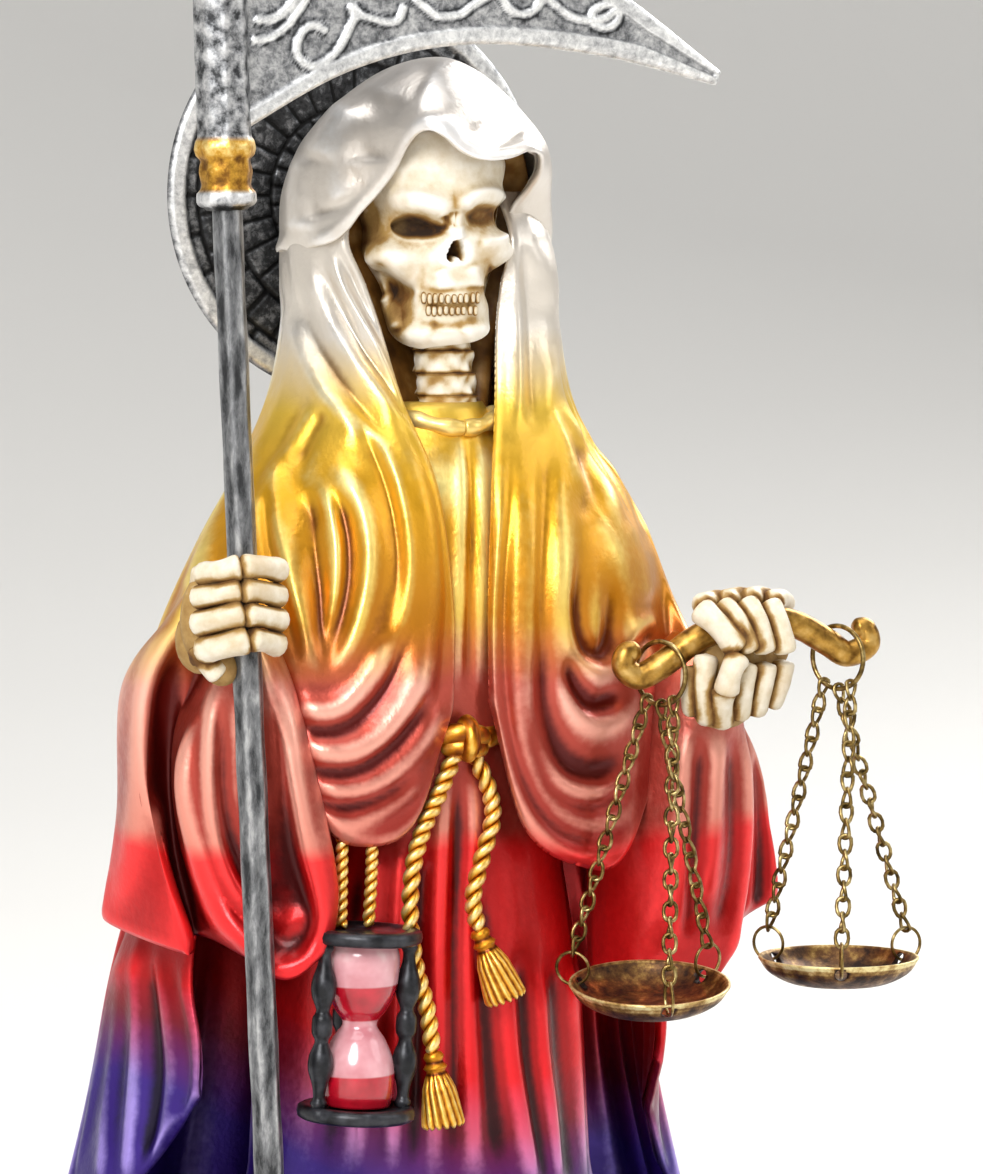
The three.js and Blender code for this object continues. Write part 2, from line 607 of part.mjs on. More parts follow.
// One pan with its three rings, its hanger and its chains
function scale(side, hangAt, panAt, tilt, spin) {
  const hangerRadius = (hangerDiameter - hangerWire) / 2;
  const facing = 0.434;
  const across = new THREE.Vector3(Math.cos(facing), Math.sin(facing), 0);
  const along = new THREE.Vector3(-Math.sin(facing), Math.cos(facing), 0);
  const drop = hangerRadius - hangerWire / 2 - beamRadius - hangerSlack;
  const hanger = beamLine.getPoint(hangAt).addScaledVector(up, -drop);
  const lean = new THREE.Matrix4()
    .makeTranslation(panAt)
    .multiply(new THREE.Matrix4().makeRotationAxis(new THREE.Vector3(0.914, -0.407, 0), tilt));
  const r = panDiameter / 2;
  const bowl = (radius, depth) => [[0.6, 0.93], [0.87, 0.54], [1, 0]].map(([wide, low]) =>
    new THREE.Vector2(wide * radius, -low * depth));
  const outside = [new THREE.Vector2(0, -panDepth), ...bowl(r, panDepth)];
  const inside = [new THREE.Vector2(0, panWall - panDepth), ...bowl(r - panWall, panDepth - panWall)];
  const dish = new THREE.LatheGeometry([...outside, ...inside.reverse()], 12).rotateX(turn / 4);
  const holeRadius = 0.93 * r - panWall / 2;
  const ringRadius = (panRingDiameter - panRingWire) / 2;
  const spread = (k) => Math.sin(spin + k * turn / 3 - facing);
  const meshes = [];
  const holes = [];
  for (let k = 0; k < 3; k++) {
    const angle = spin + k * turn / 3;
    const outward = new THREE.Vector3(Math.cos(angle), Math.sin(angle), 0);
    const hole = outward.clone().multiplyScalar(holeRadius).setZ(-panHoleDrop);
    const drill = new THREE.CylinderGeometry(panHoleDiameter / 2, panHoleDiameter / 2, 6, 6);
    holes.push(solid(drill.rotateZ(turn / 4 + angle).translate(hole.x, hole.y, hole.z)));
    const lift = outward.clone().multiplyScalar(0.42).addScaledVector(up, 0.907);
    const middle = hole.clone().addScaledVector(lift, ringRadius).applyMatrix4(lean);
    const upright = new THREE.Vector3().crossVectors(outward, up).transformDirection(lean);
    meshes.push(meshOf(`pan_ring_${side}_${k + 1}`,
      wireRing(middle, upright, panRingDiameter, panRingWire, 3, 7), paints.brass));
    const place = [0, 1, 2].filter((other) => spread(other) < spread(k)).length - 1;
    const swing = 0.55 * place;
    const start = hanger.clone()
      .addScaledVector(along, hangerRadius * Math.sin(swing))
      .addScaledVector(up, -hangerRadius * Math.cos(swing) + hangerWire / 2 + 1.5 * fitGap);
    const finish = middle.clone().addScaledVector(up, ringRadius - panRingWire / 2 - 1.5 * fitGap);
    meshes.push(meshOf(`chain_${side}_${k + 1}`, chain(start, finish, along, outward), paints.brass));
  }
  const pan = meshOf(`pan_${side}`, without(solid(dish), holes), paints.bronze);
  pan.geometry.applyMatrix4(lean);
  const ring = wireRing(hanger, across, hangerDiameter, hangerWire, 3, 14);
  return [...meshes, pan, meshOf(`hanger_ring_${side}`, ring, paints.brass)];
}

const model = new THREE.Group();
model.add(meshOf('figure', figure(), paints.robe));
model.add(meshOf('scythe', scythe(), paints.silver));
model.add(meshOf('halo', halo(), paints.silver));
model.add(meshOf('balance_beam', beam(), paints.bronze));
model.add(...scale('inner', 0.3, at(28, -40, 95.1), 0.14, 0.31));
model.add(...scale('outer', 0.735, at(63.4, -46, 98.6), 0, 0.07));

export default model;
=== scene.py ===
# A robed skeleton figure with a scythe, a halo and a pair of scales: its looks, built round the
# fixed frame. Shapes are worked out in millimetres and set down in metres.
import math

import bmesh
import bpy
import numpy as np
from mathutils import Matrix, Vector


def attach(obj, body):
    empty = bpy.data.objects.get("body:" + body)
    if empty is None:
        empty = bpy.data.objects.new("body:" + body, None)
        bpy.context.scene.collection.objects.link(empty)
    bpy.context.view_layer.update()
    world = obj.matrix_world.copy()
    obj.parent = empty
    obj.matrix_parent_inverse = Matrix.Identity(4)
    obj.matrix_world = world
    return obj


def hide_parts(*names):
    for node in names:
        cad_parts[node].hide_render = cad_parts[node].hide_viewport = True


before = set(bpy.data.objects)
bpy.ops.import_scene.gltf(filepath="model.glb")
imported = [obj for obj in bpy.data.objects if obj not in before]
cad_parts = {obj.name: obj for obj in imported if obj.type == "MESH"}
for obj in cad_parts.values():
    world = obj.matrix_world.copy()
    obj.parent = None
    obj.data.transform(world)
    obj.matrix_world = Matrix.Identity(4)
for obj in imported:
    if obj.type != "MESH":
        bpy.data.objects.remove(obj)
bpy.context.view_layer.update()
mm = 0.001
turn = 2 * math.pi

# the photo's view, with the pixel at its middle and the mm to a pixel: folds are placed in its pixels
view = dict(azimuth=-24.0, elevation=4.0, distance=900.0, span=217.2, target=(12.1, -5.4, 165.0),
            middle=(491.5, 587), pixel=0.185)


def viewAxes():
    a, e = math.radians(view["azimuth"]), math.radians(view["elevation"])
    back = np.array([math.sin(a) * math.cos(e), -math.cos(a) * math.cos(e), math.sin(e)])
    right = np.array([math.cos(a), math.sin(a), 0.0])
    return back, right, np.cross(back, right)


viewBack, viewRight, viewUp = viewAxes()
viewEye = np.array(view["target"]) + viewBack * view["distance"]


def seen(points):  # where points stand in the picture plane, in mm from its middle
    ray = points - viewEye
    grow = view["distance"] / -(ray @ viewBack)
    return np.stack([(ray @ viewRight) * grow, (ray @ viewUp) * grow], -1)


def onPlane(pixels):  # photo pixels as mm in the picture plane
    return (np.asarray(pixels, float) - view["middle"]) * (view["pixel"], -view["pixel"])


def photoPoint(x, y, depth):  # the point behind a photo pixel that lies at a depth, its Y in mm
    across, up = onPlane((x, y))
    ray = np.array(view["target"]) + viewRight * across + viewUp * up - viewEye
    return tuple(viewEye + ray * (depth - viewEye[1]) / ray[1])


# curves and surfaces

def smoothstep(x, low, high):
    t = np.clip((np.asarray(x, float) - low) / (high - low), 0, 1)
    return t * t * (3 - 2 * t)


def bell(x, middle, width):
    return np.exp(-((np.asarray(x, float) - middle) / width) ** 2)


def along(points, t, closed=False):  # a smooth curve through points, along their first axis
    points = np.asarray(points, float)
    count = len(points)
    spans = count if closed else count - 1
    place = np.clip(np.asarray(t, float), 0, 1) * spans
    k = np.minimum(place.astype(int), spans - 1)
    f = (place - k).reshape(place.shape + (1,) * (points.ndim - 1))
    if closed:
        a, b, c, d = (points[(k + n) % count] for n in (-1, 0, 1, 2))
    else:
        more = np.concatenate([[2 * points[0] - points[1]], points, [2 * points[-1] - points[-2]]])
        a, b, c, d = (more[k + n] for n in range(4))
    return b + 0.5 * f * (c - a + f * (2 * a - 5 * b + 4 * c - d + f * (3 * (b - c) + d - a)))


def draped(strands, u, v, closed=False):  # cloth on strands that run down it: u across, v down
    lines = along(np.swapaxes(np.asarray(strands, float), 0, 1), v)
    return along(np.swapaxes(lines, 0, 1), u, closed)


def barGrid(points, radius, sides, steps, twist=0.0):  # a round bar along a curve
    t = np.linspace(0, 1, steps)
    line = along(points, t)
    way = np.gradient(line, axis=0)
    way /= np.linalg.norm(way, axis=1, keepdims=True)
    side = np.zeros_like(way)
    lead = np.array([0, 0, 1.0]) if abs(way[0][2]) < 0.8 else np.array([1.0, 0, 0])
    for k in range(steps):  # carried along so that the section doesn't turn
        lead = lead - way[k] * (lead @ way[k])
        lead /= np.linalg.norm(lead)
        side[k] = lead
    other = np.cross(way, side)
    angle = around(sides)[..., None] + twist * turn * t[None, :, None]
    size = np.asarray([radius(x) for x in t])[None, :, None]
    return line[None] + size * (np.cos(angle) * side[None] + np.sin(angle) * other[None])


def around(sides):  # the angles round a bar, as a column
    return np.linspace(0, turn, sides + 1)[:, None]


def swollen(grid, share):  # a bar whose skin is moved out from its middle line by a share
    middle = grid[:-1].mean(0)
    return middle[None] + (grid - middle[None]) * share[..., None]


def lumpy(grid, scale):  # slow bumps over a bar, -1 to 1
    x, y, z = np.moveaxis(grid * scale, -1, 0)
    return np.sin(x * 2.1 + 1.3 * np.sin(y * 1.7)) * np.sin(z * 2.6 + np.sin(x * 1.9))


def flatSided(angle, count, start):  # a round section worn to flats: how far out it comes
    step = turn / count
    return math.cos(step / 2) / np.cos((angle + start) % step - step / 2)


def fromSegment(spots, start, way):  # distance to a straight piece, and how far along it that is
    t = np.clip(((spots - start) @ way) / max(way @ way, 1e-9), 0, 1)
    return np.hypot(*(spots - start - t[:, None] * way).T), t


def fromLine(spots, line):  # distance to a smooth line, and how far along it that is
    line = along(line, np.linspace(0, 1, 5 * len(line)))
    best = np.full(len(spots), 1e9)
    share = np.zeros(len(spots))
    for k in range(len(line) - 1):
        d, t = fromSegment(spots, line[k], line[k + 1] - line[k])
        near = d < best
        best[near], share[near] = d[near], ((k + t) / (len(line) - 1))[near]
    return best, share


def carved(points, folds, ends=0.16):  # height of ridges (+) and grooves (-) drawn in the view
    spots = seen(points.reshape(-1, 3))
    height = np.zeros(len(spots))
    for rise, width, line in folds:
        line = onPlane(line)
        box = np.all((spots > line.min(0) - 3 * width) & (spots < line.max(0) + 3 * width), axis=1)
        if not box.any():
            continue
        d, t = fromLine(spots[box], line)
        fade = smoothstep(t, 0, ends) * smoothstep(1 - t, 0, ends)
        height[box] += rise * fade * np.exp(-(d / width) ** 1.85)
    return height.reshape(points.shape[:-1])


def inside(spots, outline):  # distance in (+) or out (-) of a closed outline
    outline = along(onPlane(outline), np.linspace(0, 1, 6 * len(outline), endpoint=False), closed=True)
    best = np.full(len(spots), 1e9)
    within = np.zeros(len(spots), bool)
    for k in range(len(outline)):
        a, b = outline[k - 1], outline[k]
        way = b - a
        best = np.minimum(best, fromSegment(spots, a, way)[0])
        cross = (a[1] > spots[:, 1]) != (b[1] > spots[:, 1])
        reach = a[0] + (spots[:, 1] - a[1]) * way[0] / (way[1] if abs(way[1]) > 1e-9 else 1e-9)
        within ^= cross & (spots[:, 0] < reach)
    return np.where(within, best, -best)


def gridNormals(points, closed=False):
    if closed:
        ring = np.concatenate([points[-2:-1], points, points[1:2]])
        across = ring[2:] - ring[:-2]
    else:
        across = np.gradient(points, axis=0)
    down = np.gradient(points, axis=1)
    normal = np.cross(across, down)
    return normal / np.maximum(np.linalg.norm(normal, axis=-1, keepdims=True), 1e-9)


def outwardSign(points, normals):
    spine = points.mean((0, 1))
    return 1 if np.sum(normals * (points - spine)) > 0 else -1


def facingView(normals, low=0.0, high=0.3):  # 1 where a surface looks at the camera, 0 where it turns away
    return smoothstep(normals @ viewBack, low, high)


def blurred(points, times, closed=False):
    for _ in range(times):
        side = np.pad(points, ((1, 1), (0, 0), (0, 0)), "edge")
        if closed:
            side[0], side[-1] = points[-2], points[1]
        points = (side[:-2] + 2 * points + side[2:]) / 4
        side = np.pad(points, ((0, 0), (1, 1), (0, 0)), "edge")
        points = (side[:, :-2] + 2 * points + side[:, 2:]) / 4
    return points


# the paint turns a low cavity into painted shade and a high one into painted highlight
def cavity(points, normals, closed, times, gain):  # 0 deep in a recess, 0.5 on a flat, 1 on a ridge
    height = np.sum((points - blurred(points, times, closed)) * normals, -1)
    return np.clip(0.5 + gain * height, 0, 1)


# pieces

def linked(name, data):
    thing = bpy.data.objects.new(name, data)
    bpy.context.scene.collection.objects.link(thing)
    return thing


def meshPiece(bm, name):
    mesh = bpy.data.meshes.new(name)
    bm.to_mesh(mesh)
    bm.free()
    return linked(name, mesh)


def finished(bm, name, material, slot="painted_resin", node="figure", facing=None):
    bmesh.ops.recalc_face_normals(bm, faces=bm.faces)
    if facing:  # an open sheet is turned so that its face there looks the way given
        spot, way = Vector(facing[0]), Vector(facing[1])
        nearest = min(bm.faces, key=lambda face: (face.verts[0].co - spot).length_squared)
        if nearest.normal.dot(way) < 0:
            bmesh.ops.reverse_faces(bm, faces=bm.faces)
    for face in bm.faces:
        face.smooth = True
    piece = meshPiece(bm, name)
    piece.data.materials.append(material)
    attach(piece, "root")
    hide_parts(node)
    return piece


def reliefLayer(bm):  # how far each point stands up from its surroundings, for the paint; on the robe, bones and cord its lows carry painted shade and its highs painted highlight
    return bm.verts.layers.float.get("relief") or bm.verts.layers.float.new("relief")


def openEdges(bm):
    return [edge for edge in bm.edges if edge.is_boundary]


def gridMesh(bm, points, relief=0.5, closed=False, capped=False):  # one grid of points as faces
    rows, columns = points.shape[:2]
    relief = np.broadcast_to(relief, (rows, columns))
    layer = reliefLayer(bm)
    made = bmesh.ops.create_grid(bm, x_segments=rows - 1, y_segments=columns - 1, size=1)["verts"]
    seam = []
    for vert in made:
        i = round((vert.co.x + 1) / 2 * (rows - 1))
        j = round((vert.co.y + 1) / 2 * (columns - 1))
        vert.co = points[i, j] * mm
        vert[layer] = relief[i, j]
        if i in (0, rows - 1):
            seam.append(vert)
    if closed:
        bmesh.ops.remove_doubles(bm, verts=seam, dist=1e-7)
    if capped:
        bmesh.ops.holes_fill(bm, edges=openEdges(bm), sides=0)


def barPiece(name, bars, material, slot="painted_resin", node="figure"):  # closed bars, each with its relief
    bm = bmesh.new()
    for grid, relief in bars:
        gridMesh(bm, grid, relief, closed=True, capped=True)
    return finished(bm, name, material, slot, node)


def turned(bm, profile, matrix, steps=40, relief=0.5):  # a profile of (radius, height) in mm, spun round Z
    layer = reliefLayer(bm)
    verts = [bm.verts.new(matrix @ Vector((r * mm, 0, z * mm))) for r, z in profile]
    for vert in verts:
        vert[layer] = relief
    edges = [bm.edges.new(pair) for pair in zip(verts, verts[1:])]
    axis = matrix.to_3x3() @ Vector((0, 0, 1))
    bmesh.ops.spin(bm, geom=verts + edges, cent=matrix.translation, axis=axis, angle=turn, steps=steps,
                   use_merge=True)
    bmesh.ops.remove_doubles(bm, verts=bm.verts, dist=2e-6)


def rounded(profile, steps=6):  # the profile as a smooth curve
    points = along([(r, 0, z) for r, z in profile], np.linspace(0, 1, steps * len(profile)))
    return [(max(r, 0), z) for r, _, z in points]


# materials

def tone(code):
    parts = [int(code[k:k + 2], 16) / 255 for k in (0, 2, 4)]
    return tuple(c / 12.92 if c < 0.04045 else ((c + 0.055) / 1.055) ** 2.4 for c in parts) + (1.0,)


class Finish:  # one node material, built up from its shader
    def __init__(self, name, metallic=0.0):
        self.material = bpy.data.materials.new(name)
        self.material.use_nodes = True
        self.tree = self.material.node_tree
        self.shader = self.tree.nodes["Principled BSDF"]
        self.surface("Metallic", metallic)
        self.coords = self.tree.nodes.new("ShaderNodeTexCoord").outputs["Object"]

    def feed(self, node, key, value):
        socket = node.inputs[key]
        if hasattr(value, "is_output"):
            self.tree.links.new(value, socket)
        else:
            socket.default_value = value

    def surface(self, key, value):
        self.feed(self.shader, key, value)

    def noise(self, scale, detail=3, rough=0.5, warp=0.0, stretch=None):
        place = self.coords
        if stretch:
            mapping = self.tree.nodes.new("ShaderNodeMapping")
            mapping.inputs["Scale"].default_value = stretch
            self.feed(mapping, "Vector", place)
            place = mapping.outputs["Vector"]
        node = self.tree.nodes.new("ShaderNodeTexNoise")
        self.feed(node, "Vector", place)
        for key, value in dict(Scale=scale, Detail=detail, Roughness=rough, Distortion=warp).items():
            node.inputs[key].default_value = value
        return node.outputs["Fac"]

    def cells(self, scale):
        node = self.tree.nodes.new("ShaderNodeTexVoronoi")
        self.feed(node, "Vector", self.coords)
        node.inputs["Scale"].default_value = scale
        return node.outputs["Distance"]

    def math(self, kind, a, b):
        node = self.tree.nodes.new("ShaderNodeMath")
        node.operation = kind
        self.feed(node, 0, a)
        self.feed(node, 1, b)
        return node.outputs[0]

    def sway(self, noise, size):  # the noise as a change up and down
        return self.math("MULTIPLY", self.math("SUBTRACT", noise, 0.5), size)

    def fitted(self, value, low, high, toLow=0.0, toHigh=1.0):
        node = self.tree.nodes.new("ShaderNodeMapRange")
        node.interpolation_type = "SMOOTHSTEP"
        for key, number in zip(("Value", "From Min", "From Max", "To Min", "To Max"),
                               (value, low, high, toLow, toHigh)):
            self.feed(node, key, number)
        return node.outputs[0]

    def axis(self, letter):
        node = self.tree.nodes.new("ShaderNodeSeparateXYZ")
        self.feed(node, 0, self.coords)
        return node.outputs[letter]

    def relief(self):
        node = self.tree.nodes.new("ShaderNodeAttribute")
        node.attribute_name = "relief"
        return node.outputs["Fac"]

    def ramp(self, value, stops):
        node = self.tree.nodes.new("ShaderNodeValToRGB")
        self.feed(node, 0, value)
        marks = node.color_ramp.elements
        while len(marks) < len(stops):
            marks.new(0.5)
        for mark, (place, code) in zip(marks, stops):
            mark.position, mark.color = place, tone(code)
        return node.outputs["Color"]

    def mixed(self, share, a, b):
        node = self.tree.nodes.new("ShaderNodeMix")
        node.data_type = "RGBA"
        for key, value in zip((0, 6, 7), (share, a, b)):
            self.feed(node, key, value)
        return node.outputs[2]

    def bumped(self, height, strength, distance, under=None):
        node = self.tree.nodes.new("ShaderNodeBump")
        node.inputs["Strength"].default_value = strength
        node.inputs["Distance"].default_value = distance * mm
        self.feed(node, "Height", height)
        if under:
            self.feed(node, "Normal", under)
        return node.outputs["Normal"]


# the robe's paint changes with height in mm: pearl, gold, rose copper, red, violet
robeTones = dict(
    # deep is painted shade in the recesses, body the paint's own colour, crest painted highlight on the
    # ridges
    deep=[(0, "0a0218"), (52, "12042a"), (67, "2a0008"), (77, "3c0001"), (119, "480001"),
          (123, "480605"), (150, "5e0e06"), (162, "6e3204"), (185, "7e4604"), (198, "a87420"),
          (213, "94846c"), (262, "7c7066")],
    body=[(0, "2c1470"), (52, "341878"), (67, "740820"), (78, "a40206"), (119, "b80407"),
          (123, "9a2a20"), (150, "b24a3a"), (161, "c0780e"), (185, "dda31c"), (198, "e8c048"),
          (212, "dcd4c8"), (262, "d4ccc4")],
    crest=[(0, "8a74cc"), (52, "a894e0"), (67, "d85878"), (78, "e81c24"), (119, "f03434"),
           (123, "e08a78"), (150, "f4b4a0"), (161, "f6d060"), (185, "ffee98"), (198, "fff6c8"),
           (212, "ffffff"), (262, "ffffff")],
    top=262,
    lean=24, leftRight=(-62, 4), lowHigh=(80, 125),  # the violet stands that much higher at the low left
)


def robePaint():
    paint = Finish("robe_paint", 0.62)
    left, right, low, high = (x * mm for x in robeTones["leftRight"] + robeTones["lowHigh"])
    lean = paint.math("MULTIPLY", paint.fitted(paint.axis("X"), left, right, robeTones["lean"] * mm, 0),
                      paint.fitted(paint.axis("Z"), low, high, 1, 0))
    height = paint.math("DIVIDE", paint.math("SUBTRACT", paint.axis("Z"), lean), robeTones["top"] * mm)
    height = paint.math("ADD", height, paint.sway(paint.noise(45, 6), 0.04))
    deep, body, crest = (paint.ramp(height, [(z / robeTones["top"], code) for z, code in robeTones[key]])
                         for key in ("deep", "body", "crest"))
    grain, cloud = paint.sway(paint.noise(700, 2), 0.16), paint.sway(paint.noise(70, 3), 0.22)
    relief = paint.math("ADD", paint.relief(), paint.math("ADD", grain, cloud))
    # painted shade in the recesses and painted highlight on the ridges, from the relief
    colour = paint.mixed(paint.fitted(relief, 0.04, 0.47), deep, body)
    paint.surface("Base Color", paint.mixed(paint.fitted(relief, 0.54, 1.0), colour, crest))
    paint.surface("Roughness", paint.fitted(paint.noise(260, 3), 0.3, 0.7, 0.29, 0.42))
    flakes = paint.bumped(paint.noise(1100, 2), 0.4, 0.15)
    paint.surface("Normal", paint.bumped(paint.noise(180, 2), 0.12, 0.35, flakes))
    paint.surface("Coat Weight", 0.15)
    paint.surface("Coat Roughness", 0.12)
    return paint.material


def bonePaint():
    paint = Finish("bone_paint")
    relief = paint.math("ADD", paint.relief(), paint.sway(paint.noise(420, 5, 0.6), 0.3))
    # painted shade in recesses, pits, crevices and under the hood, through ivory, to painted highlight on
    # ridges
    shadedBone = paint.ramp(relief, [(0.0, "2e1a06"), (0.16, "6a430f"), (0.33, "a38148"), (0.45, "d2c4a8"),
                               (0.6, "e9e2d4"), (1.0, "fbf9f4")])
    stain = paint.fitted(paint.noise(110, 5), 0.5, 0.72, 0.0, 0.42)
    paint.surface("Base Color", paint.mixed(stain, shadedBone, tone("b08c50")))
    paint.surface("Roughness", paint.fitted(relief, 0.1, 0.5, 0.9, 0.48))
    pores = paint.bumped(paint.noise(1500, 4), 0.2, 0.12)
    paint.surface("Normal", paint.bumped(paint.noise(260, 4), 0.25, 0.3, pores))
    return paint.material


# a finish worn by a noise, the wear, laid over the relief by a share; rough is a number, or a noise
# with the roughness at its low and high end; bump is a noise, its strength and its height in mm
wornFinishes = dict(
    goldCord=dict(
        name="gold_cord_paint", metallic=0.75, wear=(800, 3), share=0.35,
        rough=((500, 3), 0.29, 0.42), bump=((1300, 3), 0.25, 0.15),
        tones=[(0.1, "3c1400"), (0.36, "944e08"), (0.58, "cf8a1c"), (0.78, "f0c25a"), (0.98, "ffeab0")]),
    slate=dict(
        name="slate_paint", metallic=0.4, wear=(380, 5), share=0.7, rough=0.36, bump=((700, 4), 0.25, 0.2),
        tones=[(0.2, "040405"), (0.45, "15161a"), (0.66, "3c3d42"), (0.92, "a2a4a6")]),
    bronze=dict(
        name="bronze_paint", metallic=0.85, wear=(420, 5), share=0.7,
        rough=((420, 4), 0.29, 0.44), bump=((650, 4), 0.2, 0.2),
        tones=[(0.15, "1a0e03"), (0.36, "684516"), (0.52, "b2873c"), (0.75, "e2bf78"), (0.95, "fff0c4")]),
    pan=dict(  # rusty brown wells and worn gold rims
        name="pan_paint", metallic=0.6, wear=(330, 6, 0.65), share=1.5,
        rough=((330, 6, 0.65), 0.55, 0.35), bump=((330, 6, 0.65), 0.5, 0.35),
        tones=[(0.15, "241206"), (0.38, "5e3d1c"), (0.5, "80602e"), (0.66, "b4935a"), (0.85, "e2d49a")]),
    brass=dict(
        name="antique_brass", metallic=0.95, wear=(520, 4), rough=((520, 4), 0.44, 0.29),
        bump=((900, 3), 0.12, 0.1), tones=[(0.3, "3e2f15"), (0.5, "80693a"), (0.68, "c4b07a")]),
    ochre=dict(  # painted shade inside the hood, in brown
        name="hood_shade_paint", metallic=0, wear=(140, 5), rough=0.5, bump=((500, 4), 0.3, 0.3),
        tones=[(0.3, "4a2c0c"), (0.5, "855a24"), (0.68, "b89058")]),
)


def wornPaint(name, metallic, wear, tones, rough, bump, share=None):
    paint = Finish(name, metallic)
    value = paint.noise(*wear)
    if share:
        value = paint.math("ADD", paint.relief(), paint.sway(value, share))
    paint.surface("Base Color", paint.ramp(value, tones))
    if isinstance(rough, tuple):
        pattern, low, high = rough
        rough = paint.fitted(paint.noise(*pattern), 0.3, 0.7, low, high)
    paint.surface("Roughness", rough)
    pattern, strength, height = bump
    paint.surface("Normal", paint.bumped(paint.noise(*pattern), strength, height))
    return paint.material


def ironPaint(name, lift, stretch, fine, brushed=0.9):  # black, dry-brushed with silver
    paint = Finish(name, 0.65)
    brush = paint.noise(fine, 6, 0.7, 0.3, (1, 1, stretch))
    patch = paint.noise(210, 5, 0.65, 0, (1, 1, stretch))
    wear = paint.math("ADD", paint.sway(brush, brushed), paint.sway(patch, brushed / 2))
    relief = paint.math("ADD", paint.relief(), paint.math("ADD", wear, lift))
    paint.surface("Base Color", paint.ramp(relief, [(0.1, "0c0c0d"), (0.3, "38393b"), (0.45, "7c7d7f"),
                                                    (0.62, "bcbcbc"), (0.85, "f2f2f0")]))
    paint.surface("Roughness", paint.fitted(brush, 0.3, 0.7, 0.5, 0.3))
    dents = paint.bumped(paint.cells(330), 0.25, 0.35)
    paint.surface("Normal", paint.bumped(brush, 0.35, 0.25, dents))
    return paint.material


def socketPaint(bandLow, bandHigh):  # the pole's paint, and gold between two heights in mm
    paint = Finish("socket_paint", 0.7)
    brush = paint.noise(520, 6, 0.68)
    relief = paint.math("ADD", paint.relief(), paint.sway(brush, 0.9))
    silver = paint.ramp(relief, [(0.2, "0b0b0c"), (0.4, "3a3b3d"), (0.52, "8d8e90"), (0.7, "d2d2d2"),
                                 (0.92, "f6f6f4")])
    gold = paint.ramp(relief, [(0.15, "2a1804"), (0.4, "7a5010"), (0.6, "c69434"), (0.85, "f4dc90")])
    height = paint.axis("Z")
    band = paint.math("MULTIPLY", paint.fitted(height, bandLow * mm, (bandLow + 1) * mm),
                      paint.fitted(height, bandHigh * mm, (bandHigh + 1.2) * mm, 1, 0))
    paint.surface("Base Color", paint.mixed(band, silver, gold))
    paint.surface("Roughness", paint.fitted(brush, 0.3, 0.7, 0.5, 0.3))
    paint.surface("Normal", paint.bumped(brush, 0.35, 0.25))
    return paint.material


def bulbPaint(lowSand, neckSand, highSand):  # pale rose, and red sand up to the heights given in mm
    paint = Finish("glass_paint")
    below, above, over = ([paint.axis("Z"), z * mm, (z + 0.4) * mm] for z in (lowSand, highSand, neckSand))
    sand = paint.math("ADD", paint.fitted(*below, 1, 0),
                      paint.math("MULTIPLY", paint.fitted(*above, 1, 0), paint.fitted(*over)))
    paint.surface("Base Color", paint.mixed(
        sand, paint.ramp(paint.noise(160, 3), [(0.3, "c07880"), (0.6, "d8a0a6"), (0.8, "ecd0d0")]),
        paint.ramp(paint.noise(300, 3), [(0.3, "980a1c"), (0.7, "c01028")])))
    for key, value in (("Roughness", 0.22), ("Coat Weight", 0.8), ("Coat Roughness", 0.06)):
        paint.surface(key, value)
    paint.surface("Normal", paint.bumped(paint.noise(400, 3), 0.08, 0.2))
    return paint.material


robe, bone = robePaint(), bonePaint()
goldCord, slate, bronze, panSkin, brass, ochre = (wornPaint(**worn) for worn in wornFinishes.values())
poleIron = ironPaint("pole_paint", 0.02, 0.3, 700, 0.6)
bladeIron = ironPaint("blade_paint", 0.16, 1, 700)
haloIron = ironPaint("halo_paint", -0.1, 1, 600)
print("materials made")


# the robe

def rimDistance(points, rims):
    edge = np.full(points.shape[:2], 1e9)
    for which in rims:
        rim = {"start": points[:1], "end": points[-1:], "hem": points[:, -1:], "top": points[:, :1]}
        edge = np.minimum(edge, np.linalg.norm(points - rim[which], axis=-1))
    return edge


def addInnerFace(bm, points, sign, cloth):  # coarser than the outer face, and met by it at the edges
    away = rimDistance(points, ("start", "end", "top", "hem"))
    within = points + (blurred(points, cloth["smoothed"]) - points) * smoothstep(away, 0, 4)[..., None]
    deep = cloth["thick"] * smoothstep(away, 0, 1.5) + cloth["slack"] * smoothstep(away, 1.5, 7)
    within = within - gridNormals(within) * (sign * deep)[..., None]
    rows, columns = (sorted({*range(0, n, cloth["lined"]), n - 1}) for n in points.shape[:2])
    gridMesh(bm, within[np.ix_(rows, columns)])
    bmesh.ops.remove_doubles(bm, verts=bm.verts, dist=1e-7)
    bmesh.ops.holes_fill(bm, edges=openEdges(bm), sides=0)


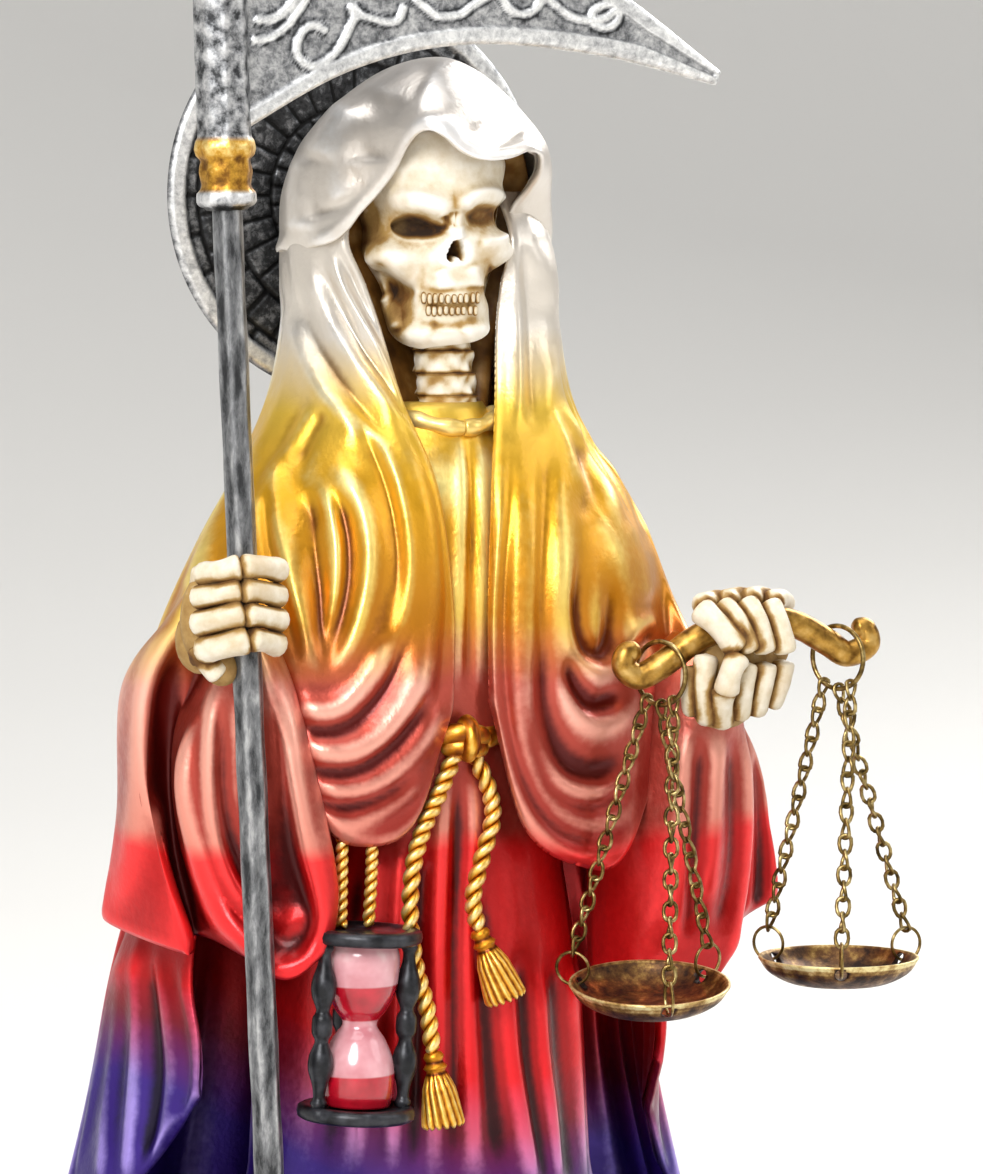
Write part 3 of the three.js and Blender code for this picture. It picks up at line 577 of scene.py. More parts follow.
def clothPiece(name, cloth, place=None):  # draped on its strands, or laid by a function of its own
    across, down = cloth["grid"]
    closed = cloth.get("closed", False)
    u, v = np.linspace(0, 1, across), np.linspace(0, 1, down)
    if place:
        points = place(u, v)
    else:
        points = draped(cloth["strands"], u - cloth.get("crowded", 0) * np.sin(turn * u), v, closed)
    normals = gridNormals(points, closed)
    sign = outwardSign(points, normals)
    normals = normals * sign
    front = facingView(normals)
    edge = rimDistance(points, cloth.get("rims", ()))
    height = carved(points, cloth["folds"], cloth.get("ends", 0.16)) * front * smoothstep(edge, 0.2, 2.6)
    if "pleats" in cloth:
        height = height + cloth["pleats"](u[:, None], v[None]) * (1 - front * cloth.get("frontClear", 1))
    if "roll" in cloth:
        near = np.clip(1 - edge / cloth["roll"], 0, 1)
        height = height - 0.55 * cloth["roll"] * (1 - np.sqrt(1 - near ** 2))
    points = blurred(points + normals * height[..., None], 1, closed)
    normals = gridNormals(points, closed) * sign
    # the folds' painted shade in recesses and painted highlight on ridges
    gain = cloth.get("gain", 0.66) * (0.4 + 0.6 * facingView(normals))  # milder on the pleated sides
    relief = cavity(points, normals, closed, cloth.get("spread", 24), gain)
    bm = bmesh.new()
    gridMesh(bm, points, relief, closed, capped=not cloth["thick"])
    if "lined" in cloth:
        addInnerFace(bm, points, sign, cloth)
    if "lined" in cloth or not cloth["thick"]:
        return finished(bm, name, robe)
    i, j = across // 2, down // 2
    piece = finished(bm, name, robe, facing=(points[i, j] * mm, normals[i, j]))
    shell = piece.modifiers.new("thickness", "SOLIDIFY")
    shell.thickness = cloth["thick"] * mm
    shell.offset = -1
    return piece


# a fold is how high (+) or deep (-) it stands, how wide, then its line in photo pixels; a strand is
# a line of points from the top to the hem, and strands follow one another across the cloth
capeRight = [
    [(-9.8, -16, 200.5), (-6, -23.5, 185), (-4.3, -26.3, 165), (-5.1, -27, 145)],
    [(-14.2, -15.6, 201), (-13, -25.5, 181), (-12, -29.5, 152), (-13.3, -30, 124.8)],
    [(-19.3, -14, 200.5), (-21, -25, 178), (-22, -30, 149), (-23.6, -31, 121)],
    [(-23.8, -10.5, 198.2), (-30, -22, 175), (-32, -28, 151), (-31.6, -29.5, 126)],
    [(-26.5, -5.6, 197.2), (-35.5, -16, 175), (-36.5, -24, 158), (-37, -25.5, 147)],
    [(-28, -2, 197.4), (-38, -9, 180), (-45.5, -14, 169.5), (-49.5, -18, 166)],
    [(-29, 3, 197), (-38, 3, 182), (-49, -1, 164), (-55.5, -4, 151)],
    [(-26, 13, 197.5), (-36, 14, 172), (-46, 10, 146), (-50, 8, 125)],
    [(-18, 21, 198.5), (-28, 25, 172), (-36, 29, 142), (-42, 30, 112)],
    [(0, 23.5, 199.5), (0, 28, 172), (0, 34, 142), (0, 38, 106)],
]
capeLeft = [  # from the front edge to the back as well
    [(8.3, -16, 200.5), (4, -24, 184), (2, -26.5, 164), (1.7, -28, 146)],
    [(12.6, -15.8, 201), (10.6, -25.5, 180), (8.5, -29.5, 151), (7.4, -30, 123.5)],
    [(18.8, -14.4, 200.6), (21, -25, 177), (19.5, -29.5, 148), (18, -29.6, 115.5)],
    [(25, -11, 198.2), (33, -20, 173), (33, -25.5, 147), (29.5, -28, 116.5)],
    [(28.5, -5.6, 197.4), (40, -12, 173), (42.5, -15, 158), (43, -18, 139.5)],
    [(30.5, -2, 197.2), (42, -5, 178), (46, -14, 161), (46, -22, 153)],
    [(31.5, 3, 196.6), (42, 3, 183), (46, -1, 165), (50, -8, 150)],
    [(26.5, 13, 197.5), (36, 14, 172), (45, 10, 146), (51, 6, 125)],
    [(18, 21, 198.5), (28, 25, 172), (36, 29, 142), (42, 30, 112)],
]
veilRows = [  # the height, then places from the edge beside the face, round the back to the other edge
    (238, (-15.5, -8), (-20, -5), (-22.8, 2), (-17.4, 15.5), (0, 22.4),
     (16.4, 14.5), (22, 1), (18.5, -5), (13, -6.5)),
    (229, (-18.3, -9.5), (-22.3, -5), (-24.7, 3), (-19.5, 17.5), (0, 25),
     (19.5, 16.5), (25.7, 0), (20, -9.5), (13.4, -12)),
    (221, (-15.2, -10.6), (-20.4, -7), (-24.4, 2), (-19.5, 17.7), (0, 25),
     (20.3, 16.8), (26.9, 0), (20, -10), (11.5, -11.6)),
    (213, (-12.5, -12), (-18.4, -9.4), (-23.6, 1), (-19.3, 17.4), (0, 24.8),
     (20.4, 16.4), (26.9, -0.6), (18.4, -11), (10.3, -12)),
]
veilPlaces = (0, 0.35, 0.75, 1.15, 1.5, 1.8, 2.1, 2.6, 3.2, 4, 4.8, 5.4, 5.9, 6.2, 6.5, 6.85, 7.25, 7.65, 8)


def capeStrands():  # the veil's rows, met by the cape's strands below the neck
    rows = [along([(*spot, height) for spot in spots], np.array(veilPlaces) / veilPlaces[-1])
            for height, *spots in veilRows]
    return [[*(tuple(row[k]) for row in rows), *strand]
            for k, strand in enumerate(capeRight + capeLeft[::-1])]


cape = dict(  # veil and cape are one cloth, open down the front
    grid=(350, 216), thick=1.8, slack=2.4, lined=3, smoothed=60, roll=1.8, rims=("start", "end", "hem"),
    ends=0.24, crowded=0.055, strands=capeStrands(),
    pleats=lambda u, v: (0.9 * bell(v, 0.45, 0.22) * np.sin(turn * 26 * u)
                         + 1.7 * smoothstep(v, 0.4, 0.85) * np.cos(turn * 32 * u) * bell(u, 0.5, 0.15)),
    folds=[  # on the right lobe
        (0.8, 1.3, [(352, 404), (384, 452), (402, 505), (409, 560), (404, 612), (388, 660)]),
        (-0.7, 1.1, [(344, 404), (375, 452), (393, 505), (400, 560), (396, 610)]),
        (0.7, 1.4, [(318, 402), (300, 432), (282, 470)]),
        (-0.7, 1.3, [(328, 404), (310, 436), (296, 468)]),
        (-0.6, 1.4, [(306, 396), (284, 430), (262, 474), (244, 520)]),
        (1.6, 2.6, [(290, 440), (278, 472), (276, 515), (288, 565), (303, 615), (316, 662), (322, 700)]),
        (1.2, 1.3, [(317, 478), (329, 505), (337, 540), (337, 580), (331, 620), (325, 668)]),
        (1.7, 2.6, [(322, 462), (346, 480), (363, 515), (369, 560), (361, 610), (345, 652), (328, 700)]),
        (-2.0, 2.4, [(306, 476), (310, 520), (316, 570), (321, 620), (324, 692)]),
        (-1.6, 2.2, [(329, 485), (345, 525), (349, 575), (342, 620), (330, 675)]),
        (-0.8, 3.0, [(340, 398), (366, 442), (384, 490), (392, 550), (386, 612), (366, 656)]),
        (0.9, 3.6, [(365, 398), (402, 450), (424, 510), (430, 570), (424, 630), (405, 688), (378, 736)]),
        (0.9, 1.6, [(388, 398), (422, 440), (444, 490), (453, 550), (456, 610), (453, 670), (446, 720),
            (438, 770)]),
        (-0.6, 1.2, [(376, 398), (411, 440), (434, 490), (444, 550), (447, 610), (441, 668), (430, 720)]),
        (1.7, 2.3, [(292, 690), (312, 710), (338, 708), (360, 688), (377, 660), (388, 625)]),
        (-1.1, 1.2, [(294, 714), (318, 731), (348, 726), (377, 700), (396, 668), (408, 622)]),
        (1.8, 2.6, [(292, 726), (316, 749), (345, 753), (375, 741), (402, 711), (421, 672), (430, 620)]),
        (-1.1, 1.3, [(296, 750), (320, 770), (354, 771), (387, 751), (413, 722), (432, 684)]),
        (1.7, 2.4, [(298, 760), (325, 787), (354, 790), (384, 778), (412, 752), (432, 720), (445, 678)]),
        (-1.0, 1.2, [(304, 782), (330, 804), (360, 805), (390, 792), (418, 768)]),
        (1.4, 2.2, [(310, 800), (338, 820), (362, 819), (386, 806), (408, 788), (430, 760)]),
        (0.6, 1.4, [(305, 775), (315, 803), (336, 829), (367, 841), (400, 831), (429, 802), (441, 766)]),
        (1.0, 2.4, [(258, 430), (258, 500), (266, 556), (279, 604), (293, 660), (300, 712)]),
        (-1.0, 1.8, [(268, 470), (268, 520), (277, 570), (290, 625), (302, 680)]),
        (0.8, 2.4, [(222, 470), (205, 520), (196, 570), (188, 600)]),
        (-0.8, 2.6, [(240, 440), (226, 500), (215, 560), (205, 600)]),
        # on the left lobe
        (0.8, 1.3, [(556, 400), (590, 440), (622, 490), (642, 545)]),
        (-0.7, 1.2, [(564, 402), (600, 445), (632, 500), (648, 560)]),
        (0.7, 1.6, [(546, 402), (570, 450), (588, 500)]),
        (-0.6, 1.1, [(552, 402), (578, 446), (600, 500), (622, 560)]),
        (0.9, 1.7, [(503, 415), (500, 500), (494, 560), (491, 620), (496, 700), (508, 770), (530, 820),
            (560, 849), (592, 855), (625, 842), (655, 812)]),
        (-0.6, 1.0, [(512, 415), (510, 500), (505, 580), (504, 660), (511, 730), (528, 790), (556, 828),
            (589, 841), (619, 833), (648, 806)]),
        (0.8, 1.8, [(521, 420), (519, 500), (514, 580), (514, 660), (520, 728), (538, 782), (562, 813),
            (590, 824), (618, 814), (646, 788)]),
        (-1.3, 1.8, [(528, 680), (534, 740), (552, 786), (587, 805), (617, 796), (647, 770)]),
        (1.7, 2.3, [(538, 430), (533, 500), (530, 580), (528, 650), (530, 710), (541, 755), (560, 784),
            (588, 793), (619, 783), (648, 752)]),
        (-2.2, 3.0, [(550, 590), (547, 660), (550, 712), (563, 754), (587, 773), (612, 768), (643, 740)]),
        (1.6, 2.3, [(562, 430), (559, 500), (553, 570), (553, 630), (560, 682), (575, 713), (598, 724),
            (623, 713), (648, 686)]),
        (-1.9, 2.2, [(572, 640), (575, 678), (589, 703), (607, 704), (630, 686)]),
        (1.5, 2.0, [(572, 490), (565, 570), (566, 625), (577, 657), (597, 671), (622, 669)]),
        (-1.9, 2.1, [(583, 540), (578, 600), (585, 642), (600, 656), (612, 640), (615, 600), (610, 548)]),
        (1.2, 2.4, [(602, 440), (608, 510), (617, 565), (623, 615), (632, 655)]),
        (0.9, 1.6, [(622, 646), (640, 626), (658, 616)]),
        (-0.7, 1.2, [(622, 660), (640, 642), (658, 632)]),
        (0.9, 1.6, [(612, 672), (634, 658), (658, 648)]),
        (-0.8, 2.2, [(548, 430), (546, 500), (541, 580), (539, 650)]),
        (-0.8, 2.4, [(584, 430), (588, 480), (594, 530)]),
        (0.7, 2.6, [(630, 510), (642, 560), (650, 610)]),
        # on the veil
        (1.1, 2.0, [(300, 250), (322, 305), (349, 352), (384, 398), (408, 440)]),
        (-1.2, 1.3, [(314, 250), (335, 300), (361, 346), (392, 390), (414, 428)]),
        (1.0, 1.5, [(327, 246), (346, 292), (374, 340), (400, 382), (420, 424)]),
        (-1.0, 1.2, [(338, 246), (358, 290), (386, 340), (408, 378)]),
        (-1.1, 1.6, [(294, 272), (307, 325), (334, 372), (366, 412), (392, 444)]),
        (1.1, 2.4, [(289, 280), (296, 335), (318, 385), (350, 422), (378, 452)]),
        (1.2, 1.8, [(511, 232), (516, 300), (518, 370), (517, 440)]),
        (-1.1, 1.8, [(524, 236), (529, 300), (533, 370), (537, 440)]),
        (1.3, 2.4, [(541, 238), (547, 290), (550, 350), (549, 430)]),
    ],
)
clothPiece("cape", cape)
print("cape draped")

tunic = dict(
    grid=(200, 110), thick=0, closed=True, top=200, low=4, pleatCount=15,
    rows=[(200, 9, 9, -5.5), (185, 20, 17, -4), (165, 23, 21, -3.5), (139, 20, 22, -2.5),  # z, wide, deep, y
          (122, 25, 24, -1), (90, 30, 26.5, 0), (57, 31.5, 29, 0), (30, 37, 34, 1), (3.6, 46, 41, 2)],
    pleats=lambda u, v: 1.1 * smoothstep(v, 0.3, 0.6) * np.sin(turn * tunic["pleatCount"] * u),
    folds=[
        (1.5, 1.6, [(506, 960), (512, 1050), (522, 1110), (540, 1200)]),
        (-1.4, 2.0, [(522, 940), (528, 1040), (537, 1110), (550, 1200)]),
        (1.4, 1.5, [(538, 960), (543, 1050), (552, 1115), (561, 1200)]),
        (-1.4, 2.0, [(555, 940), (560, 1040), (567, 1110), (573, 1200)]),
        (1.4, 1.5, [(571, 950), (578, 1040), (582, 1110), (586, 1200)]),
        (-1.8, 3.0, [(593, 920), (598, 1060), (603, 1200)]),
        (1.1, 1.6, [(450, 764), (444, 840), (440, 930), (438, 1030), (430, 1190)]),
        (-1.2, 1.5, [(459, 770), (458, 850), (455, 950), (455, 1060), (452, 1190)]),
        (1.1, 1.5, [(471, 766), (472, 850), (469, 950), (472, 1060), (474, 1190)]),
        (-1.4, 2.4, [(486, 880), (484, 980), (490, 1060), (503, 1190)]),
        (1.1, 1.8, [(404, 840), (398, 930), (398, 1040), (392, 1190)]),
        (-1.2, 1.9, [(420, 840), (416, 930), (417, 1040), (411, 1190)]),
        (1.1, 1.8, [(378, 840), (372, 930), (366, 1040), (352, 1190)]),
        (-1.2, 2.0, [(360, 850), (350, 950), (340, 1040), (320, 1190)]),
        (-0.8, 1.2, [(470, 430), (473, 520), (470, 600), (467, 700)]),
        (0.8, 1.2, [(462, 430), (463, 520), (461, 600), (459, 700)]),
        (0.8, 1.2, [(481, 430), (483, 520), (480, 600), (477, 700)]),
    ],
)


def tunicPlace(u, v):
    z = tunic["top"] - (tunic["top"] - tunic["low"]) * v
    rows = np.array(tunic["rows"])[::-1]
    wide, deep, y = (np.interp(z, rows[:, 0], rows[:, k]) for k in (1, 2, 3))
    angle = turn * u[:, None]
    spots = np.broadcast_arrays(wide * np.sin(angle), y - deep * np.cos(angle), z)
    return np.stack(spots, -1)


clothPiece("tunic", tunic, tunicPlace)
print("tunic draped")


def mantleHalf(side):
    return [
        [(side * 36, -6, 150), (side * 47, -5, 103), (side * 47.5, -8, 84), (side * 47, -7, 74)],
        [(side * 40, 1, 150), (side * 50, 5, 103), (side * 50, 3, 80), (side * 51, 5, 60)],
        [(side * 41, 9, 150), (side * 51.5, 14, 103), (side * 54, 17, 74), (side * 64, 20, 38)],
        [(side * 36, 18, 150), (side * 48, 24, 103), (side * 55, 29, 62), (side * 69, 34, 4)],
        [(side * 21, 26, 150), (side * 30, 34, 103), (side * 34, 40, 60), (side * 42, 49, 4)],
    ]


mantle = dict(
    grid=(240, 90), thick=2.2, roll=1.8, rims=("start", "end", "hem"), frontClear=0.9,
    strands=[*mantleHalf(-1), [(0, 28, 150), (0, 36, 103), (0, 42, 60), (0, 53, 4)], *mantleHalf(1)[::-1]],
    pleats=lambda u, v: (1.5 * smoothstep(v, 0.1, 0.5) * np.sin(turn * 15 * u)
                         * smoothstep(np.minimum(u, 1 - u), 0.03, 0.2)),
    folds=[
        (1.3, 1.4, [(124, 926), (106, 1040), (88, 1110), (66, 1190)]),
        (1.4, 1.4, [(132, 926), (122, 1030), (110, 1110), (100, 1200)]),
        (1.4, 1.5, [(140, 926), (139, 1020), (135, 1100), (126, 1200)]),
        (-1.4, 1.8, [(149, 950), (154, 1030), (154, 1090), (142, 1170)]),
        (1.5, 2.3, [(154, 940), (168, 1010), (176, 1070), (169, 1125), (150, 1180)]),
        (-1.1, 1.7, [(166, 950), (184, 1020), (188, 1075), (179, 1125)]),
        (1.0, 1.7, [(176, 955), (195, 1040), (199, 1085), (189, 1125)]),
    ],
)
clothPiece("mantle", mantle)
print("mantle draped")

sleeves = dict(
    right=dict(
        pleatCount=9,
        strands=[
            [(-49.3, -15.0, 169), (-53, -8, 161), (-59, -2, 148), (-58.6, 3, 126), (-59.8, 8, 105)],
            [(-51.5, -20.0, 169), (-54.5, -18.5, 162), (-59.2, -13, 148), (-57, -12, 124), (-51.5, -14, 101)],
            [(-45.4, -17.2, 169), (-47, -18, 160), (-51, -8, 140), (-50, -5, 120), (-46, -5, 103)],
            [(-48.3, -22.9, 169), (-48, -25, 157), (-54.3, -21, 135), (-51, -23, 117), (-45.1, -28, 101.5)],
            [(-47.6, -22.7, 169), (-45.5, -28, 156), (-44.5, -27, 135), (-41, -26, 114), (-40, -33, 98.6)],
            [(-47.0, -22.4, 169), (-42.5, -30, 156), (-38, -33, 134), (-33, -34, 115), (-34, -33, 101)],
            [(-45.0, -19.4, 169), (-36, -22.5, 155), (-30.5, -26, 132), (-28, -26, 114), (-30, -25, 103)],
            [(-46.5, -15.9, 169), (-40, -8, 156), (-38, -4, 136), (-38, -1, 118), (-41, 3, 106)],
            [(-48.2, -15.1, 169), (-45, 0, 160), (-48, 6, 142), (-50, 10, 124), (-53, 13, 108)],
        ],
        folds=[
            (1.2, 2.2, [(176, 620), (152, 672), (142, 730), (137, 800), (131, 860), (116, 925)]),
            (-1.3, 3.4, [(192, 630), (168, 690), (160, 750), (160, 810), (172, 868), (194, 935)]),
            (1.6, 2.0, [(191, 640), (183, 700), (179, 760), (185, 820), (198, 872), (219, 918),
                (250, 955)]),
            (-1.2, 1.5, [(201, 680), (196, 760), (200, 820), (212, 868), (231, 905), (262, 940)]),
            (1.5, 2.3, [(214, 680), (209, 760), (212, 820), (224, 868), (245, 906), (275, 930)]),
            (-1.1, 1.4, [(223, 690), (222, 760), (226, 820), (239, 864), (258, 892)]),
            (1.1, 1.8, [(233, 680), (234, 760), (238, 820), (250, 860), (266, 888)]),
            (1.3, 1.2, [(157, 790), (166, 850), (180, 908), (196, 960)]),
            (1.0, 1.7, [(280, 645), (290, 720), (297, 790), (306, 850), (320, 900), (324, 932), (312, 960),
                (282, 970), (248, 962)]),
            (-1.0, 2.0, [(268, 670), (277, 740), (282, 800), (289, 850), (301, 895), (306, 922), (293, 942),
                (268, 946)]),
            (0.6, 1.7, [(262, 810), (264, 870), (272, 912), (288, 925), (300, 905)]),
        ],
    ),
    left=dict(
        pleatCount=8,
        strands=[
            [(49.8, -17.2, 157), (57, -10, 146), (66, -8, 130), (69.5, -6, 117), (71.6, -6, 104)],
            [(50.4, -17.9, 157), (55, -15, 146), (60, -12, 130), (60, -10, 115), (61.6, -11, 100.5)],
            [(50.5, -22.0, 157), (54, -24, 145), (56.8, -23, 128), (57, -21, 110), (53.5, -21, 94)],
            [(47.0, -24.0, 157), (47, -29, 143), (47, -28, 124), (47, -26, 105), (44, -21.5, 85.2)],
            [(43.4, -21.8, 157), (39, -24, 142), (37, -26, 122), (35, -25, 104), (33, -20, 87)],
            [(43.6, -17.9, 157), (34, -12, 144), (30, -12, 124), (30, -10, 106), (31, -8, 93)],
            [(46.0, -16.1, 157), (42, 0, 148), (44, 6, 130), (46, 8, 113), (46, 6, 98)],
            [(47.7, -16.1, 157), (50, -2, 150), (56, 4, 132), (60, 5, 116), (63, 2, 102)],
        ],
        folds=[
            (1.3, 1.5, [(744, 725), (748, 800), (747, 860), (742, 915), (724, 970)]),
            (-1.2, 1.6, [(734, 725), (736, 820), (732, 880), (716, 940)]),
            (1.3, 2.0, [(718, 725), (713, 790), (710, 850), (702, 910)]),
            (-1.2, 1.7, [(701, 730), (697, 810), (691, 880), (685, 945)]),
            (1.2, 1.8, [(688, 725), (685, 800), (682, 870), (676, 950)]),
            (-1.0, 1.4, [(756, 740), (760, 820), (761, 880), (757, 915)]),
            (1.0, 1.3, [(768, 780), (771, 850), (771, 900)]),
        ],
    ),
)
for side, sleeve in sleeves.items():
    sleeve.update(grid=(130, 84), thick=1.6, roll=1.2, rims=("hem",), closed=True)
    sleeve["pleats"] = lambda u, v: 0.8 * smoothstep(v, 0.2, 0.6) * np.sin(turn * sleeve["pleatCount"] * u)
    clothPiece(f"sleeve_{side}", sleeve)
print("sleeves draped")

cowl = dict(
    brim=[  # photo pixels along the brim, left to right, and the depth (Y in mm) they lie at
        (296, 254, 2), (322, 245, -8), (345, 231, -11.5), (360, 212, -13.5), (378, 193, -15.5),
        (395, 170, -18), (405, 148, -21), (416, 133, -24), (430, 128, -26.5), (447, 134, -28),
        (466, 150, -28.8), (487, 158, -28.8), (510, 156, -27.5), (530, 148, -25.5), (543, 154, -23),
        (542, 173, -17.5), (530, 191, -13.5), (513, 209, -10), (509, 222, -8.5),
    ],
    crown=[  # and the points from there back over the crown
        [(-25, 10, 227), (-16, 21.5, 228), (0, 26, 229)],
        [(-25.3, 2, 231.5), (-19, 18.5, 232), (0, 26, 233)],
        [(-25.3, 0, 236), (-19, 17.5, 237), (0, 25, 238)],
        [(-24.6, -1, 240), (-18, 16, 242), (0, 23.5, 242.5)],
        [(-23, -3, 244.5), (-16.5, 14.5, 247), (0, 22, 246.5)],
        [(-20.5, -5, 249), (-13.5, 12, 251.5), (0, 20, 250.5)],
        [(-16.5, -7, 253.5), (-10, 9, 256), (0, 17, 254.5)],
        [(-11.5, -9, 257.5), (-6, 5, 259.6), (0, 14, 257.5)],
        [(-6.5, -11, 260), (-3, 2, 261.2), (0, 11.5, 259.5)],
        [(-1, -12, 261), (0, 1, 261.8), (0, 10, 260.3)],
        [(3.5, -12.5, 260.3), (2.5, 1.5, 261.2), (0, 11.5, 259.5)],
        [(8.5, -12.5, 258), (6.5, 4, 259.3), (0, 14, 257.5)],
        [(13, -12, 254.8), (10.5, 8, 255.5), (0, 17, 254.5)],
        [(17, -11, 251), (14, 11, 251), (0, 20, 250.5)],
        [(20.5, -9, 247), (17, 13.5, 246.5), (0, 22, 246.5)],
        [(23.3, -6, 242.5), (18.5, 15, 242), (0, 23.5, 242.5)],
        [(24.9, -3, 237), (19.5, 16.5, 237), (0, 25, 238)],
        [(26.4, -1, 231), (20.5, 17.5, 231.5), (0, 26, 233)],
        [(26.8, 1, 225.5), (20.5, 18.5, 227.5), (0, 26, 229)],
    ],
    grid=(210, 124), thick=1.8, roll=1.5, rims=("top", "start", "end"), spread=40, gain=0.5,
    folds=[
        (0.8, 1.3, [(296, 250), (324, 238), (347, 224), (364, 205), (383, 184), (399, 160), (411, 138),
            (430, 123), (452, 132), (470, 147), (490, 154), (510, 152), (530, 144), (543, 148)]),
        (-1.2, 3.6, [(318, 150), (312, 185), (322, 222)]),
        (1.0, 4.0, [(352, 96), (336, 135), (334, 178), (346, 205)]),
        (0.8, 3.4, [(296, 150), (291, 195), (294, 235)]),
        (-0.8, 4.0, [(385, 90), (372, 130), (372, 165)]),
        (0.8, 4.5, [(420, 80), (455, 100), (480, 130)]),
        (-0.7, 3.5, [(470, 90), (500, 115), (520, 140)]),
    ],
)
cowl["strands"] = [[photoPoint(*spot), *crown] for spot, crown in zip(cowl["brim"], cowl["crown"])]
clothPiece("cowl", cowl)

# a brown sheet inside the hood: painted shade
hoodShade = dict(  # rows of the height, then places round the inside of the hood
    rows=[(252.5, (-8, -12), (-8, 4), (0, 9), (8, 4), (9, -12), (1, -17)),
          (247, (-15, -8), (-12, 9), (0, 16), (12, 8), (16, -9), (1, -12)),
          (238, (-20, -4), (-16, 13), (0, 21), (16, 12), (20, -4), (0, 2)),
          (225, (-18, -4), (-16, 13), (0, 21), (16, 12), (18, -4), (0, 4)),
          (212, (-13, -5), (-15, 12), (0, 20), (15, 12), (13, -5), (0, 2)),
          (196, (-10, -9), (-14, 8), (0, 17), (14, 8), (9, -9), (0, -4))],
    grid=(61, 50),
)


def makeHoodShade():
    strands = [[(*row[k], row[0]) for row in hoodShade["rows"]] for k in range(1, 7)]
    u, v = (np.linspace(0, 1, count) for count in hoodShade["grid"])
    return barPiece("hood_shade_sheet", [(draped(strands, u, v, True), 0.5)], ochre)


makeHoodShade()
print("hood draped")


# bones

